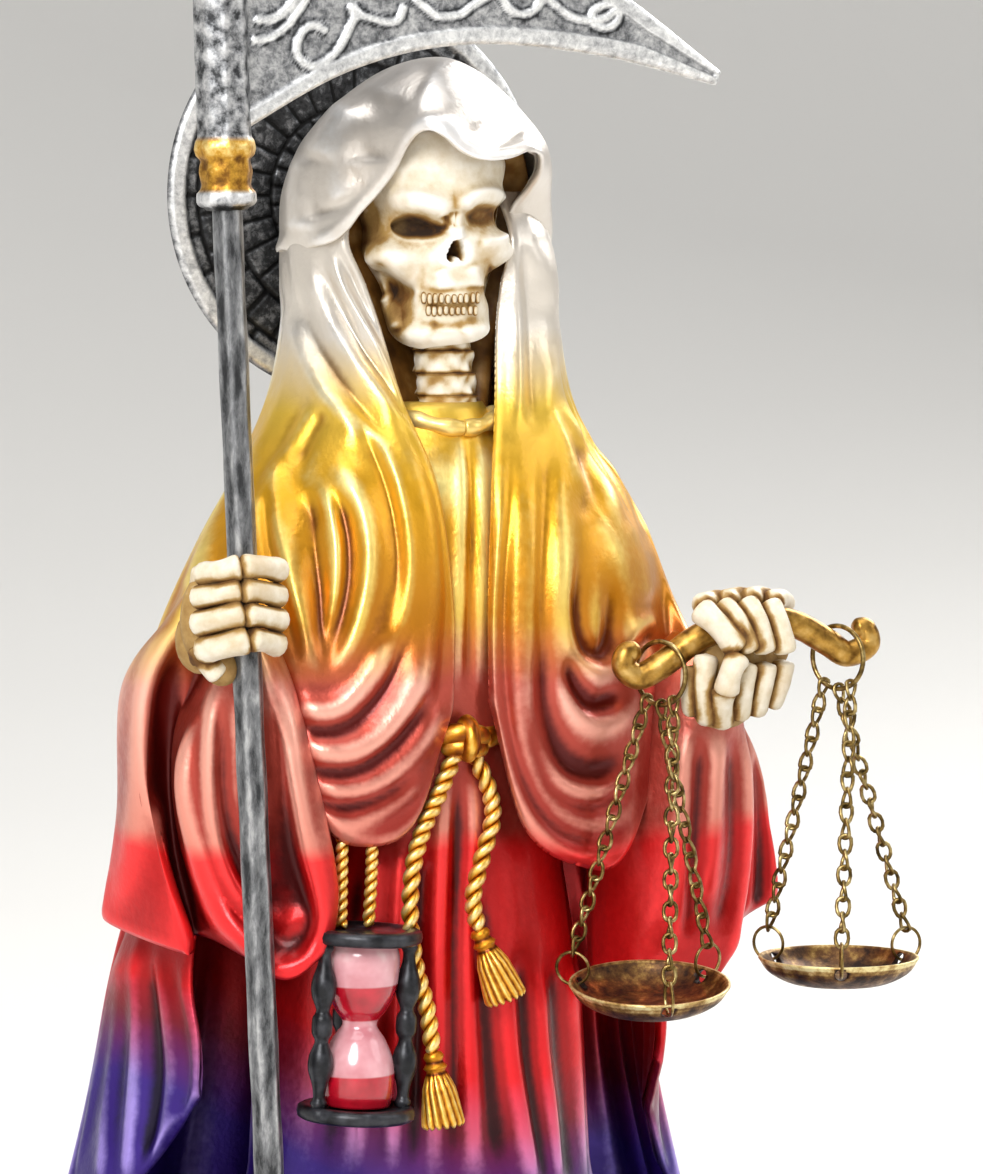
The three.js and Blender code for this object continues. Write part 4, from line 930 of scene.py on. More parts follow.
skull = dict(
    place=(-1.2, -19.5, 226.8), turned=-0.09, lean=-0.05, axis=13, grid=(240, 190),
    rows=[(27.6, 0.3, 0.3, 0.3), (26.6, 6, 6, 7), (22, 12.6, 12, 15), (15.5, 14, 13.6, 17.2),  # z, wide,
          (11, 13.6, 13.4, 17.4), (8.4, 13, 13.2, 17),  # front, rear
          (4.9, 12.2, 12.1, 16.2), (2.8, 12.5, 12.3, 15.5), (0.6, 12.7, 12.3, 14.5),
          (-2.2, 12, 12, 13), (-5, 10.4, 12.3, 11), (-8.2, 9.4, 12.6, 9), (-10.6, 9.3, 12.5, 8.4),
          (-12.4, 9.2, 11.8, 8), (-14.6, 8.6, 12, 7), (-16.2, 6.6, 10.6, 5), (-16.9, 2, 6, 1)],
    swells=[  # brows, nose bridge, cheekbones, hollow cheeks, temples, jaws and chin: how far out they
        # come, how far to the side, how wide, how far up and how tall
        (1.5, 5.5, 4.5, 8.8, 1.9), (1.2, 0, 1.6, 5, 3), (2.4, 11, 3.4, -0.8, 2.4), (-1.9, 9.5, 3.2, -6, 3),
        (-1.4, 12.5, 2.6, 8, 4), (0.9, 0, 5.5, -7.6, 3.4), (1.0, 0, 4.4, -14.6, 2),
    ],
    pits=[  # how deep, how soft, outline in photo pixels
        (1.6, 3.4, [(384, 216), (392, 206), (410, 203), (430, 208), (447, 220), (450, 236), (440, 250),
            (418, 256), (398, 250), (386, 234)]),
        (3.0, 1.5, [(394, 224), (403, 217), (415, 215), (430, 219), (442, 225), (446, 231), (438, 236),
            (424, 238), (408, 237), (397, 232)]),
        (1.3, 2.2, [(462, 216), (470, 203), (484, 197), (500, 200), (505, 214), (498, 230), (482, 236),
            (468, 232)]),
        (1.0, 1.4, [(468, 216), (474, 208), (484, 203), (494, 205), (498, 214), (492, 224), (482, 227),
            (472, 224)]),
        (5.0, 0.5, [(448, 258), (450, 250), (455, 241), (460, 240), (464, 246), (466, 256), (463, 261),
            (458, 257), (453, 262)]),
        (1.5, 2.4, [(388, 282), (402, 288), (412, 297), (414, 312), (408, 326), (399, 318), (391, 300)]),
        (1.8, 1.6, [(490, 266), (498, 274), (497, 292), (490, 300), (487, 284)]),
        (1.6, 3.0, [(352, 222), (366, 214), (374, 230), (372, 250), (358, 256), (350, 240)]),
    ],
    folds=[
        (0.9, 1.9, [(384, 206), (402, 196), (422, 198), (440, 208), (450, 218)]),
        (1.2, 1.4, [(462, 212), (468, 201), (480, 194), (493, 193), (504, 200), (508, 212)]),
        (-0.7, 0.5, [(446, 214), (447, 222), (445, 231)]),
        (-0.6, 0.45, [(451, 211), (452, 219), (451, 228)]),
        (-0.7, 0.5, [(458, 210), (457, 220), (455, 231)]),
        (1.0, 1.0, [(455, 226), (457, 234), (459, 240)]),
        (0.9, 2.4, [(374, 238), (382, 254), (396, 268), (411, 279), (424, 282)]),
        (-0.9, 1.6, [(370, 256), (386, 276), (404, 290), (418, 294)]),
        (1.1, 1.3, [(480, 238), (492, 242), (503, 239), (508, 228)]),
        (0.6, 1.4, [(440, 268), (444, 280), (446, 290)]),
        (0.6, 1.4, [(472, 264), (476, 278), (476, 288)]),
        (-0.7, 1.0, [(420, 305), (436, 307), (452, 307), (468, 305), (481, 302)]),
        (-0.35, 0.9, [(422, 298), (436, 299), (452, 299), (468, 297), (480, 294)]),
        (-0.35, 0.9, [(424, 312), (438, 314), (452, 314), (468, 311), (478, 308)]),
        (-0.4, 0.8, [(420, 288), (436, 290), (452, 290), (468, 288), (482, 285)]),
        (-0.35, 0.8, [(424, 321), (438, 324), (452, 324), (468, 321), (480, 317)]),
        (1.1, 2.4, [(400, 314), (407, 330), (420, 344), (445, 350), (466, 350), (482, 344), (491, 330),
            (492, 312)]),
        (-0.8, 1.8, [(424, 333), (448, 337), (470, 333)]),
        (1.0, 1.5, [(384, 292), (392, 312), (402, 330)]),
    ],
    paintedShade=[  # painted shade in the hollows, the mouth and under the hood: how dark, how soft, outline
        (0.2, 0.7, [(420, 294), (440, 294), (460, 294), (480, 291), (480, 305), (478, 316), (460, 318),
            (440, 318), (424, 316), (420, 305)]),
        (0.3, 1.5, [(393, 224), (399, 217), (413, 214), (430, 217), (443, 224), (447, 231), (440, 236),
            (425, 239), (407, 238), (396, 233)]),
        (0.24, 1.6, [(350, 190), (368, 196), (380, 214), (386, 240), (388, 262), (376, 262), (352, 250)]),
        (0.26, 1.6, [(378, 284), (392, 284), (406, 292), (414, 306), (412, 326), (404, 342), (388, 330),
            (378, 305)]),
        (0.12, 1.6, [(472, 205), (484, 198), (500, 200), (504, 212), (492, 226), (476, 222)]),
        (0.14, 1.0, [(422, 286), (440, 288), (460, 288), (482, 284), (481, 292), (460, 295), (440, 295),
            (424, 293)]),
        (0.14, 1.0, [(424, 320), (440, 323), (460, 323), (478, 319), (476, 328), (460, 332), (440, 332),
            (426, 328)]),
        (0.14, 1.2, [(438, 206), (450, 204), (462, 208), (458, 234), (448, 236), (440, 222)]),
        (0.16, 1.4, [(482, 262), (500, 262), (502, 290), (494, 308), (484, 300)]),
        (0.16, 1.6, [(404, 340), (430, 353), (470, 353), (490, 340), (492, 362), (440, 368), (404, 356)]),
    ],
)
teeth = dict(  # two rows: places across, the height and the size, in mm in the picture plane
    rows=[((-12.4, -11.35, -10.3, -9.2, -8.1, -7.0, -5.85, -4.75, -3.65, -2.7), 53.3, 1.08),
          ((-11.8, -10.7, -9.6, -8.5, -7.35, -6.25, -5.15, -4.05, -3.0), 51.1, 0.98)],
    wide=0.53, deep=0.5, bow=0.006, middle=-7.6, squared=0.75,
)


def skullShape():
    u, v = (np.linspace(0, 1, count) for count in skull["grid"])
    angle = turn * (u + 0.045 * np.sin(turn * 2 * u) - 0.06 * np.sin(turn * u))[:, None]  # closer in front
    rows = np.array(skull["rows"])[::-1]
    z = rows[-1, 0] - (rows[-1, 0] - rows[0, 0]) * v
    sizes = [np.interp(z, rows[:, 0], rows[:, k]) for k in (1, 2, 3)]
    for _ in range(3):
        sizes = [np.convolve(np.pad(row, 2, "edge"), [0.1, 0.2, 0.4, 0.2, 0.1], "valid") for row in sizes]
    for row in sizes:
        row[0] = row[-1] = 0.01
    wide, front, rear = sizes
    deep = np.where(np.cos(angle) > 0, front, rear)
    reach = 1 / np.hypot(np.sin(angle) / wide, np.cos(angle) / deep)
    x = np.abs(reach * np.sin(angle))
    soft = sum(rise * bell(x, side, broad) * bell(z, level, tall)
               for rise, side, broad, level, tall in skull["swells"])
    reach = reach + soft * smoothstep(np.cos(angle), 0, 0.25)
    spots = np.broadcast_arrays(reach * np.sin(angle), skull["axis"] - reach * np.cos(angle), z)
    return np.stack(spots, -1)


def addTeeth(bm, points, normals):  # each stands on the nearest point of the jaws, as seen
    layer = reliefLayer(bm)
    spots = seen(points)
    hidden = np.where(normals @ viewBack > 0.2, 0, 1e3)
    for row, low, size in teeth["rows"]:
        for k, across in enumerate(row):
            spot = np.array([across, low + teeth["bow"] * (across - teeth["middle"]) ** 2])
            near = points[np.argmin(np.hypot(*(spots - spot).T) + hidden)]
            long = size * (0.96 + 0.1 * math.sin(7 * k + size))
            spin = Matrix.Rotation(skull["turned"] + (across + 9) * 0.05, 4, "Z")
            peg = (Matrix.Translation(Vector(near) * mm) @ spin
                   @ Matrix.Diagonal((teeth["wide"] * mm, teeth["deep"] * mm, long * mm, 1)))
            for vert in bmesh.ops.create_icosphere(bm, subdivisions=2, radius=1, matrix=peg)["verts"]:
                p = peg.inverted() @ vert.co
                vert.co = peg @ Vector([math.copysign(abs(c) ** teeth["squared"], c) for c in p])
                # painted shade on the teeth's backs and sides, lighter on their fronts
                vert[layer] = 0.16 + 0.3 * smoothstep(-p.y, 0.3, 0.9)


def makeSkull():
    head = np.array(Matrix.Translation(skull["place"]) @ Matrix.Rotation(skull["turned"], 4, "Z")
                    @ Matrix.Rotation(skull["lean"], 4, "Y"))
    points = skullShape() @ head[:3, :3].T + head[:3, 3]
    shape = points.shape[:2]
    spots = seen(points.reshape(-1, 3))
    normals = gridNormals(points, True)
    normals = normals * outwardSign(points, normals)
    mask = facingView(normals, -0.2, 0.15)
    sunk = np.zeros(shape)
    for depth, soft, outline in skull["pits"]:
        sunk += depth * smoothstep(inside(spots, outline), -0.4 * soft, soft).reshape(shape)
    height = carved(points, skull["folds"], 0.2)
    ahead = head[:3, :3] @ np.array([0, -1, 0])
    points = points + normals * (height * mask)[..., None] - ahead * (sunk * mask)[..., None]
    points[0] = points[-1] = (points[0] + points[-1]) / 2
    normals = gridNormals(points, True)
    normals = normals * outwardSign(points, normals)
    # painted shade in the skull's recesses, deeper in its pits, and painted highlight on its ridges
    relief = cavity(points, normals, True, 12, 1.0)
    relief = np.clip(relief - 0.07 * np.minimum(sunk, 4), 0, 1)
    # painted shade in the hollows, the mouth and under the hood
    for dark, soft, outline in skull["paintedShade"]:
        relief = relief - dark * smoothstep(inside(spots, outline), -soft, soft).reshape(shape)
    bm = bmesh.new()
    gridMesh(bm, points, np.clip(relief, 0, 1), closed=True)
    bmesh.ops.remove_doubles(bm, verts=bm.verts, dist=2e-5)
    addTeeth(bm, points.reshape(-1, 3), normals.reshape(-1, 3))
    return finished(bm, "skull", bone)


makeSkull()
print("skull carved")


def knuckled(size, swell=0.14, end=0.14, knob=0.16, cap=0.09):  # thin in the shaft, knobbed at both ends
    def radius(t):
        knobs = math.exp(-((t - end) / knob) ** 2) + math.exp(-((t - 1 + end) / knob) ** 2)
        caps = math.sqrt(1 - max(0, 1 - t / cap) ** 2) * math.sqrt(1 - max(0, 1 - (1 - t) / cap) ** 2)
        return max(size * (0.94 + swell * knobs) * caps, 0.02)
    return radius


# a bone is its size, then pixels and depths that it runs through; a lump is its middle and radii
hands = dict(
    sides=14, steps=22, grow=0.5, crevice=0.06, open=0.5, lump=0.3,
    right=dict(
        bones=[
            (2.15, (203, 575, -33.5), (219, 572, -38.2), (240, 567, -40.2)),
            (2.1, (243, 567, -40.3), (262, 567, -39.4), (281, 571, -36.6)),
            (2.1, (198, 598, -33.5), (216, 594, -38.0), (240, 589, -40.2)),
            (2.1, (243, 590, -40.3), (262, 592, -39.4), (280, 597, -36.6)),
            (2.3, (198, 624, -33.6), (218, 619, -38.2), (243, 612, -40.4)),
            (2.1, (246, 614, -40.4), (264, 617, -39.5), (281, 621, -36.8)),
            (2.4, (203, 650, -33.8), (222, 646, -38.4), (248, 639, -40.4)),
            (2.1, (251, 639, -40.4), (265, 641, -39.4), (278, 645, -37.0)),
            (2.1, (199, 647, -32.5), (206, 661, -33.4), (219, 673, -33.6)),
            (2.2, (199, 607, -30.4), (198, 632, -31.5), (204, 664, -32.5)),
            (1.9, (203, 571, -32.0), (199, 587, -30.5), (197, 601, -29.5)),
        ],
        lumps=[((210, 620, -31.5), (5.4, 4.6, 8.8)), ((200, 640, -28.5), (4.4, 4.6, 6.0)),
               ((222, 668, -32.5), (3.2, 3.0, 3.2))],
    ),
    left=dict(
        bones=[
            (2.4, (700, 609, -43.6), (719, 626, -46.6), (738, 648, -47.2)),
            (2.2, (738, 657, -47.6), (731, 672, -48.0), (726, 692, -46.6)),
            (2.1, (722, 606, -43.4), (738, 622, -46.6), (750, 651, -47.0)),
            (2.1, (746, 603, -43.8), (758, 622, -46.8), (765, 652, -46.8)),
            (2.1, (769, 604, -44.2), (779, 624, -46.6), (785, 652, -46.4)),
            (2.0, (700, 606, -43.0), (716, 600, -40.0), (726, 604, -37.0)),
            (2.0, (724, 602, -43.0), (738, 597, -40.0), (746, 600, -37.0)),
            (2.0, (748, 600, -43.4), (758, 596, -40.4), (766, 600, -37.4)),
            (2.0, (771, 602, -43.6), (780, 599, -40.6), (784, 604, -38.0)),
            (2.1, (706, 656, -42.4), (704, 686, -43.0), (708, 722, -40.5)),
            (2.2, (724, 690, -45.2), (722, 704, -44.0), (722, 722, -41.0)),
            (2.1, (746, 664, -44.4), (743, 690, -44.4), (738, 716, -41.6)),
            (2.1, (765, 664, -44.0), (762, 688, -43.6), (754, 712, -41.2)),
            (2.0, (783, 662, -43.0), (780, 684, -42.6), (770, 704, -40.6)),
            (1.9, (693, 668, -40.6), (690, 690, -40.6), (694, 712, -39.2)),
        ],
        lumps=[((738, 672, -38.6), (8.4, 5.2, 8.6)), ((722, 706, -38.0), (6.0, 4.6, 4.2)),
               ((768, 640, -37.8), (4.2, 4.0, 6.2)), ((712, 640, -37.4), (3.4, 3.4, 5.0))],
    ),
)


def grown(end, inner):  # the end of a bone, moved out a little
    end, inner = np.array(end), np.array(inner)
    return tuple(end + (end - inner) / np.linalg.norm(end - inner) * hands["grow"])


def makeHand(side):
    bm = bmesh.new()
    layer = reliefLayer(bm)
    grids = []
    for size, *spots in hands[side]["bones"]:
        points = [photoPoint(*spot) for spot in spots]
        points = [grown(points[0], points[1]), *points[1:-1], grown(points[-1], points[-2])]
        grids.append(barGrid(points, knuckled(size), hands["sides"], hands["steps"]))
    for grid in grids:  # painted shade where bones touch
        others = np.concatenate([other.reshape(-1, 3) for other in grids if other is not grid])
        spots = grid.reshape(-1, 3)
        gap = np.sqrt(((spots[:, None] - others[None]) ** 2).sum(-1).min(1)).reshape(grid.shape[:2])
        relief = hands["crevice"] + (hands["open"] - hands["crevice"]) * smoothstep(gap, 0.1, 1.6)
        gridMesh(bm, grid, relief, closed=True, capped=True)
    for middle, radii in hands[side]["lumps"]:
        place = Matrix.Translation(Vector(photoPoint(*middle)) * mm)
        place = place @ Matrix.Diagonal((*[r * mm for r in radii], 1))
        for vert in bmesh.ops.create_icosphere(bm, subdivisions=3, radius=1, matrix=place)["verts"]:
            # painted shade on the lumps inside the fist
            vert[layer] = hands["lump"]
    return finished(bm, f"hand_{side}", bone)


makeHand("right")
makeHand("left")
print("hands made")

neck = dict(middles=[(1, -7.6, 211), (1.3, -8.1, 206.9), (1.6, -8.6, 202.8), (1.9, -8.7, 198.8)], half=2.15,
            size=5.9, waist=0.7, end=4.6, sides=40, steps=24, rough=0.07)


def neckRadius(t):
    return neck["size"] - neck["waist"] * math.sin(math.pi * t) ** 0.7 if 0 < t < 1 else neck["end"]


def makeNeck():
    t = np.linspace(0, 1, neck["steps"])
    vertebrae = []
    for x, y, z in neck["middles"]:
        line = [(x, y, z + side * neck["half"]) for side in (-1, 0, 1)]
        grid = barGrid(line, neckRadius, neck["sides"], neck["steps"])
        lumps = lumpy(grid, 0.55)
        grid = swollen(grid, 1 + neck["rough"] * lumps)
        grid[-1] = grid[0]
        # painted shade where each vertebra meets the next and in its dips, lighter on its bumps
        vertebrae.append((grid, 0.12 + 0.34 * smoothstep(np.minimum(t, 1 - t), 0, 0.2) + 0.16 * lumps))
    return barPiece("neck", vertebrae, bone)


collar = dict(middle=(1.2, -9.2, 197.2), wide=9.2, deep=8.2, size=1.5, dip=2.2, beads=61, bead=0.12)


def makeCollar():  # the tunic's rolled neckband
    x, y, z = collar["middle"]
    line = [(x + collar["wide"] * math.sin(k), y - collar["deep"] * math.cos(k),
             z - collar["dip"] * max(math.cos(k), 0) ** 2) for k in np.linspace(0, turn, 49)]
    radius = lambda t: collar["size"] * (1 + collar["bead"] * math.sin(t * collar["beads"]))
    grid = barGrid(line, radius, 14, 150)
    # painted shade between the beads and painted highlight on them
    return barPiece("collar", [(grid, 0.5 + 0.3 * cavity(grid, gridNormals(grid, True), True, 6, 0.5))], robe)


makeNeck()
makeCollar()
print("neck made")


# girdle, tassels and hourglass

girdle = dict(
    cords=[  # the radius, the height of a full twist, and the line the cord hangs on
        (1.5, 5.6, [(-4.4, -26.6, 137), (-7.9, -27.4, 130), (-11.4, -28.2, 123.7), (-13.8, -29, 116.7),
                    (-14.7, -29.8, 107.9), (-13.8, -30.4, 98.9), (-12.1, -31.2, 91.8), (-11.2, -31.8, 84)]),
        (1.5, 5.6, [(-0.8, -26.4, 136.6), (2.2, -26.4, 130), (2.7, -27, 124.6), (0.4, -27.4, 117.6),
                    (-1.4, -27.6, 110.6), (-0.6, -27.9, 105)]),
        (1.1, 3.8, [(-27.3, -28.6, 123), (-27.6, -29, 115), (-27.9, -29.4, 107)]),
        (1.1, 3.8, [(-21.6, -28.8, 122), (-22, -29.2, 115), (-22.6, -29.4, 107)]),
    ],
    knot=[  # a wrapped middle, a loop over it and the girdle's two ends: the radius, and the line
        (1.9, [(-6.6, -25.6, 139.6), (-4.6, -28.6, 140.6), (-1.6, -28.8, 140.2), (1.2, -25.8, 139.4)]),
        (1.7, [(-6.4, -25.4, 137.8), (-4.4, -28.4, 138.1), (-1.6, -28.6, 137.9), (1.2, -25.4, 137.4)]),
        (1.6, [(-2.9, -26.6, 142.8), (-2.7, -29.8, 141.2), (-2.8, -30.2, 138.6), (-3, -27.4, 135.9)]),
        (1.9, [(-14, -20, 139.5), (-10.4, -23.6, 139.6), (-6.4, -25.8, 139.2)]),
        (1.9, [(8, -20.6, 139.2), (4.6, -23.8, 139.4), (0.8, -25.8, 139)]),
    ],
    tassels=[((-11.2, -31.8, 84), (-9.6, -33, 70.6)), ((-0.6, -27.9, 105), (4.2, -29.6, 92.2))],
    tasselShape=[  # how far down, and the radius there
        (0, 0.2), (0.02, 1.5), (0.08, 1.9), (0.14, 1.5), (0.17, 1.7), (0.22, 2.2), (0.27, 1.7),
        (0.32, 2.0), (0.5, 2.9), (0.8, 3.5), (0.96, 3.8), (1.0, 3.3),
    ],
    tasselGrid=(90, 60), ribs=15,
)


def cordBars(size, pitch, points):  # two strands twisted round one another
    length = sum(math.dist(a, b) for a, b in zip(points, points[1:]))
    steps = int(length / 0.55) + 6
    core = barGrid(points, lambda t: size * 0.5, 4, steps, length / pitch)
    bars = []
    for k in (0, 2):
        grid = barGrid(core[k], lambda t: size * 0.62, 10, steps)
        # painted shade where each strand turns in towards the other
        out = np.linalg.norm(grid - core[:4].mean(0)[None], axis=-1) / (1.1 * size)
        bars.append((grid, np.clip(out ** 2 * 0.85, 0, 1)))
    return bars


def tasselBar(top, end):
    top, end = np.array(top), np.array(end)
    sides, steps = girdle["tasselGrid"]
    shares, sizes = zip(*girdle["tasselShape"])
    line = [top, (top + end) / 2 + (0.1, 0, 0), end]
    grid = barGrid(line, lambda t: float(np.interp(t, shares, sizes)), sides, steps)
    t = np.linspace(0, 1, steps)[None]
    rib = np.abs(np.sin(girdle["ribs"] * (around(sides) / 2 + 0.25 * t))) ** 0.7
    skirt = smoothstep(t, 0.26, 0.4)
    grid = swollen(grid, 1 + 0.16 * (rib - 0.7) * skirt)
    fray = 0.8 * (rib - 0.5) * smoothstep(t, 0.9, 1.0)  # the strands' uneven ends
    grid[:, -6:] += (end - top) / np.linalg.norm(end - top) * fray[:, -6:, None]
    # painted shade in the ribs' grooves and in the narrow necks at the two bindings
    bindingShade = 1 - 0.8 * bell(t, 0.3, 0.02) - 0.8 * bell(t, 0.15, 0.02)
    return grid, np.clip((0.12 + 0.7 * rib) * skirt + 0.55 * (1 - skirt), 0, 1) * bindingShade


def knotBar(size, line, sides=16, steps=30):
    grid = barGrid(line, knuckled(size, 0.12, 0.2), sides, steps)
    # painted shade and highlight in spiral bands, as of wrapped cord
    return grid, 0.5 + 0.25 * np.cos(3 * around(sides) + 8 * np.linspace(0, 1, steps)[None])


ropes = [bar for cord in girdle["cords"] for bar in cordBars(*cord)]
ropes += [tasselBar(*ends) for ends in girdle["tassels"]]
barPiece("girdle", ropes + [knotBar(*part) for part in girdle["knot"]], goldCord)
print("girdle tied")

hourglass = dict(
    place=(-24.6, -30, 89.6), lean=0.05, height=29.6, plate=10.6, plateThick=2.6,
    posts=[(-8.2, -2.4), (8.0, -2.4), (0, 8)],
    post=[(1.2, 0), (1.5, 1), (1.1, 2), (1.3, 4), (2.2, 7), (2.1, 9.5), (1.2, 12), (1.8, 13.5)],
    bulb=[(6.0, 0.2), (6.7, 3), (6.4, 8), (4.8, 12)], waist=3.1, sand=(80.6, 90.2, 96.6),
)


def mirrored(profile, middle=()):  # a profile from the foot up to the middle, and on up to the top
    half = hourglass["height"] / 2
    return [(r, z - half) for r, z in profile] + [*middle] + [(r, half - z) for r, z in profile[::-1]]


def makeHourglass():
    place = Matrix.Translation(Vector(hourglass["place"]) * mm) @ Matrix.Rotation(hourglass["lean"], 4, "Y")
    half = hourglass["height"] / 2
    r, t = hourglass["plate"], hourglass["plateThick"]
    plate = [(0, 0), (r - 0.9, 0), (r - 0.2, 0.4), (r, 0.5 * t), (r - 0.2, t - 0.4), (r - 0.9, t),
             (r - 2.2, t), (r - 2.6, t - 0.4), (0, t - 0.4)]
    bm = bmesh.new()
    for foot in (half - 0.2, 0.2 - half - t):
        turned(bm, [(x, foot + z) for x, z in plate], place, 56, 0.55)
    post = rounded(mirrored(hourglass["post"]), 4)
    for x, y in hourglass["posts"]:
        turned(bm, post, place @ Matrix.Translation((x * mm, y * mm, 0)), 18)
    finished(bm, "hourglass_frame", slate)
    bm = bmesh.new()
    bulbs = rounded(mirrored(hourglass["bulb"], [(hourglass["waist"], 0)]))
    turned(bm, [(0, 0.1 - half), *bulbs, (0, half - 0.1)], place, 48)
    finished(bm, "hourglass_bulbs", bulbPaint(*hourglass["sand"]))


makeHourglass()
print("hourglass made")

base = dict(width=156.6, depth=123, height=6, bevel=1.6, y=4, relief=0.42)


def makeBase():
    bm = bmesh.new()
    layer = reliefLayer(bm)
    place = Matrix.Translation((0, base["y"] * mm, base["height"] / 2 * mm))
    place = place @ Matrix.Diagonal((base["width"] / 2 * mm, base["depth"] / 2 * mm, base["height"] * mm, 1))
    bmesh.ops.create_cone(bm, cap_ends=True, segments=140, radius1=0.999, radius2=0.999, depth=1,
                          matrix=place)
    rims = [edge for edge in bm.edges if abs(edge.verts[0].co.z - edge.verts[1].co.z) < 1e-6]
    bmesh.ops.bevel(bm, geom=rims, offset=base["bevel"] * mm, affect="EDGES", segments=4, profile=0.5,
                    material=-1)
    for vert in bm.verts:
        vert[layer] = base["relief"]
    return finished(bm, "base", robe)


makeBase()


# scythe and halo

scythe = dict(
    poleTop=(-51.3, -34, 245), poleFoot=(-41.1, -34, 6.45), radius=2.75, height=292, socket=5.25,
    socketLow=0.047, socketLean=1.4, goldBand=(236.8, 245.8),
    bands=[  # how far up the socket, and its share of the radius there
        (0, 0.1), (0.003, 0.66), (0.012, 0.74), (0.02, 0.96), (0.03, 1.03), (0.055, 1.02), (0.068, 0.9),
        (0.08, 0.86), (0.12, 0.9), (0.155, 0.86), (0.168, 1.0), (0.19, 1.06), (0.212, 1.0), (0.222, 0.92),
        (0.9, 0.93), (0.95, 0.86), (0.99, 0.5), (1, 0.05),
    ],
    reach=93, thick=3.6, border=3.0, recess=0.8,  # the blade, and its edges as shares of the reach
    lowerEdge=[(0, 246), (0.25, 258.4), (0.49, 263.4), (0.76, 262), (1.02, 257)],
    upperEdge=[(0, 284), (0.3, 287), (0.58, 283), (0.8, 274), (1.03, 259.4)],
    vines=[
        (0.8, 0.75, [(362, 2), (352, 25), (340, 48), (322, 64), (306, 64), (298, 50), (302, 34), (312, 25),
            (322, 27), (330, 34)]),
        (0.8, 0.75, [(352, 2), (356, 12), (372, 18), (392, 22), (402, 16), (405, 2)]),
        (0.8, 0.75, [(412, -4), (428, 8), (440, 16), (462, 14), (476, 4), (490, -4), (500, -12)]),
        (0.8, 0.75, [(500, -14), (506, 2), (516, 12), (530, 13), (540, 4), (540, -8)]),
        (0.8, 0.75, [(540, -10), (556, 4), (572, 16), (590, 20), (606, 18), (620, 8), (618, 22), (606, 28),
            (594, 22), (596, 10), (608, 4), (622, 4)]),
        (0.8, 0.75, [(250, 40), (270, 38), (288, 26), (300, 10), (310, -6)]),
        (0.8, 0.8, [(254, 20), (276, 18), (292, 4), (300, -10)]),
        (0.7, 0.8, [(630, 6), (650, 20), (668, 34), (684, 46)]),
    ],
)
iron = dict(slot="black_silver_paint", node="scythe")
poleFoot, poleTop = np.array(scythe["poleFoot"]), np.array(scythe["poleTop"])


def makePole():
    grid = barGrid([poleFoot, (poleFoot + poleTop) / 2, poleTop], lambda t: scythe["radius"], 36, 200)
    flats = flatSided(around(36), 6, 0.1)
    dents = lumpy(grid, (0.5, 0.5, 0.12))
    relief = np.clip(0.42 + 1.3 * (flats - 0.93) + 0.06 * dents, 0, 1)
    grid = swollen(grid, np.minimum(flats, 0.985) + 0.03 * dents)
    return barPiece("scythe_pole", [(grid, relief)], poleIron, **iron)


def makeSocket():
    low = poleTop + (poleFoot - poleTop) * scythe["socketLow"]
    high = np.array((poleTop[0] - scythe["socketLean"], poleTop[1], scythe["height"] - 0.1))
    shares, sizes = zip(*scythe["bands"])
    size = np.interp(np.linspace(0, 1, 160), shares, sizes)[None]
    grid = barGrid([low, (low + high) / 2, high],
                   lambda t: scythe["socket"] * float(np.interp(t, shares, sizes)), 48, 160)
    flats = flatSided(around(48), 8, 0.2)
    dents = lumpy(grid, (0.6, 0.6, 0.5))
    relief = np.clip(0.5 + 1.2 * (size - 0.9) + 1.5 * (flats - 0.95) + 0.08 * dents, 0, 1)
    grid = swollen(grid, np.minimum(flats, 0.985) + 0.02 * dents)
    return barPiece("scythe_socket", [(grid, relief)], socketPaint(*scythe["goldBand"]), **iron)


def makeBlade():
    u, v = np.linspace(0, 1, 61), np.linspace(0, 1, 250)
    lower, upper = (along([(poleTop[0] + x * scythe["reach"], poleTop[1], z) for x, z in scythe[key]], v)
                    for key in ("lowerEdge", "upperEdge"))
    wide = np.linalg.norm(upper - lower, axis=1)
    flat = lower[None] + (upper - lower)[None] * u[:, None, None]
    edge = np.minimum(u[:, None], 1 - u[:, None]) * wide[None]  # mm in from the nearer edge
    edge = np.minimum(edge, 1.2 * np.abs(1.0 - v[None]) * scythe["reach"])
    half = scythe["thick"] / 2
    border = np.minimum(scythe["border"], 0.32 * wide[None])
    inner = smoothstep(edge, border, border + 0.6)
    thick = half * (0.35 + 0.65 * np.sqrt(np.clip(edge / 1.1, 0, 1))) - scythe["recess"] * inner
    vines = carved(flat - (0, half, 0), scythe["vines"], 0.06)
    shade = 0.22 * smoothstep(vines, 0.3, 0.7) - 0.3 * bell(vines, 0.13, 0.1)  # dark beside each vine
    relief = np.clip(0.54 - 0.14 * inner + inner * shade, 0, 1)
    thick = np.minimum(thick + np.clip(vines, 0, 0.75) * inner, half)
    bm = bmesh.new()
    for side in (-1, 1):
        gridMesh(bm, flat + side * thick[..., None] * (0, 1, 0), relief)
    bmesh.ops.remove_doubles(bm, verts=bm.verts, dist=1e-6)
    bmesh.ops.bridge_loops(bm, edges=openEdges(bm))
    return finished(bm, "scythe_blade", bladeIron, **iron)


makePole()
makeSocket()
makeBlade()
print("scythe made")

halo = dict(middle=(-0.7, 237.4), back=29.3, radius=38, thick=3, rimWidth=4, rimHeight=1.2, rays=28,
            rings=(9, 17, 25, 31.6))


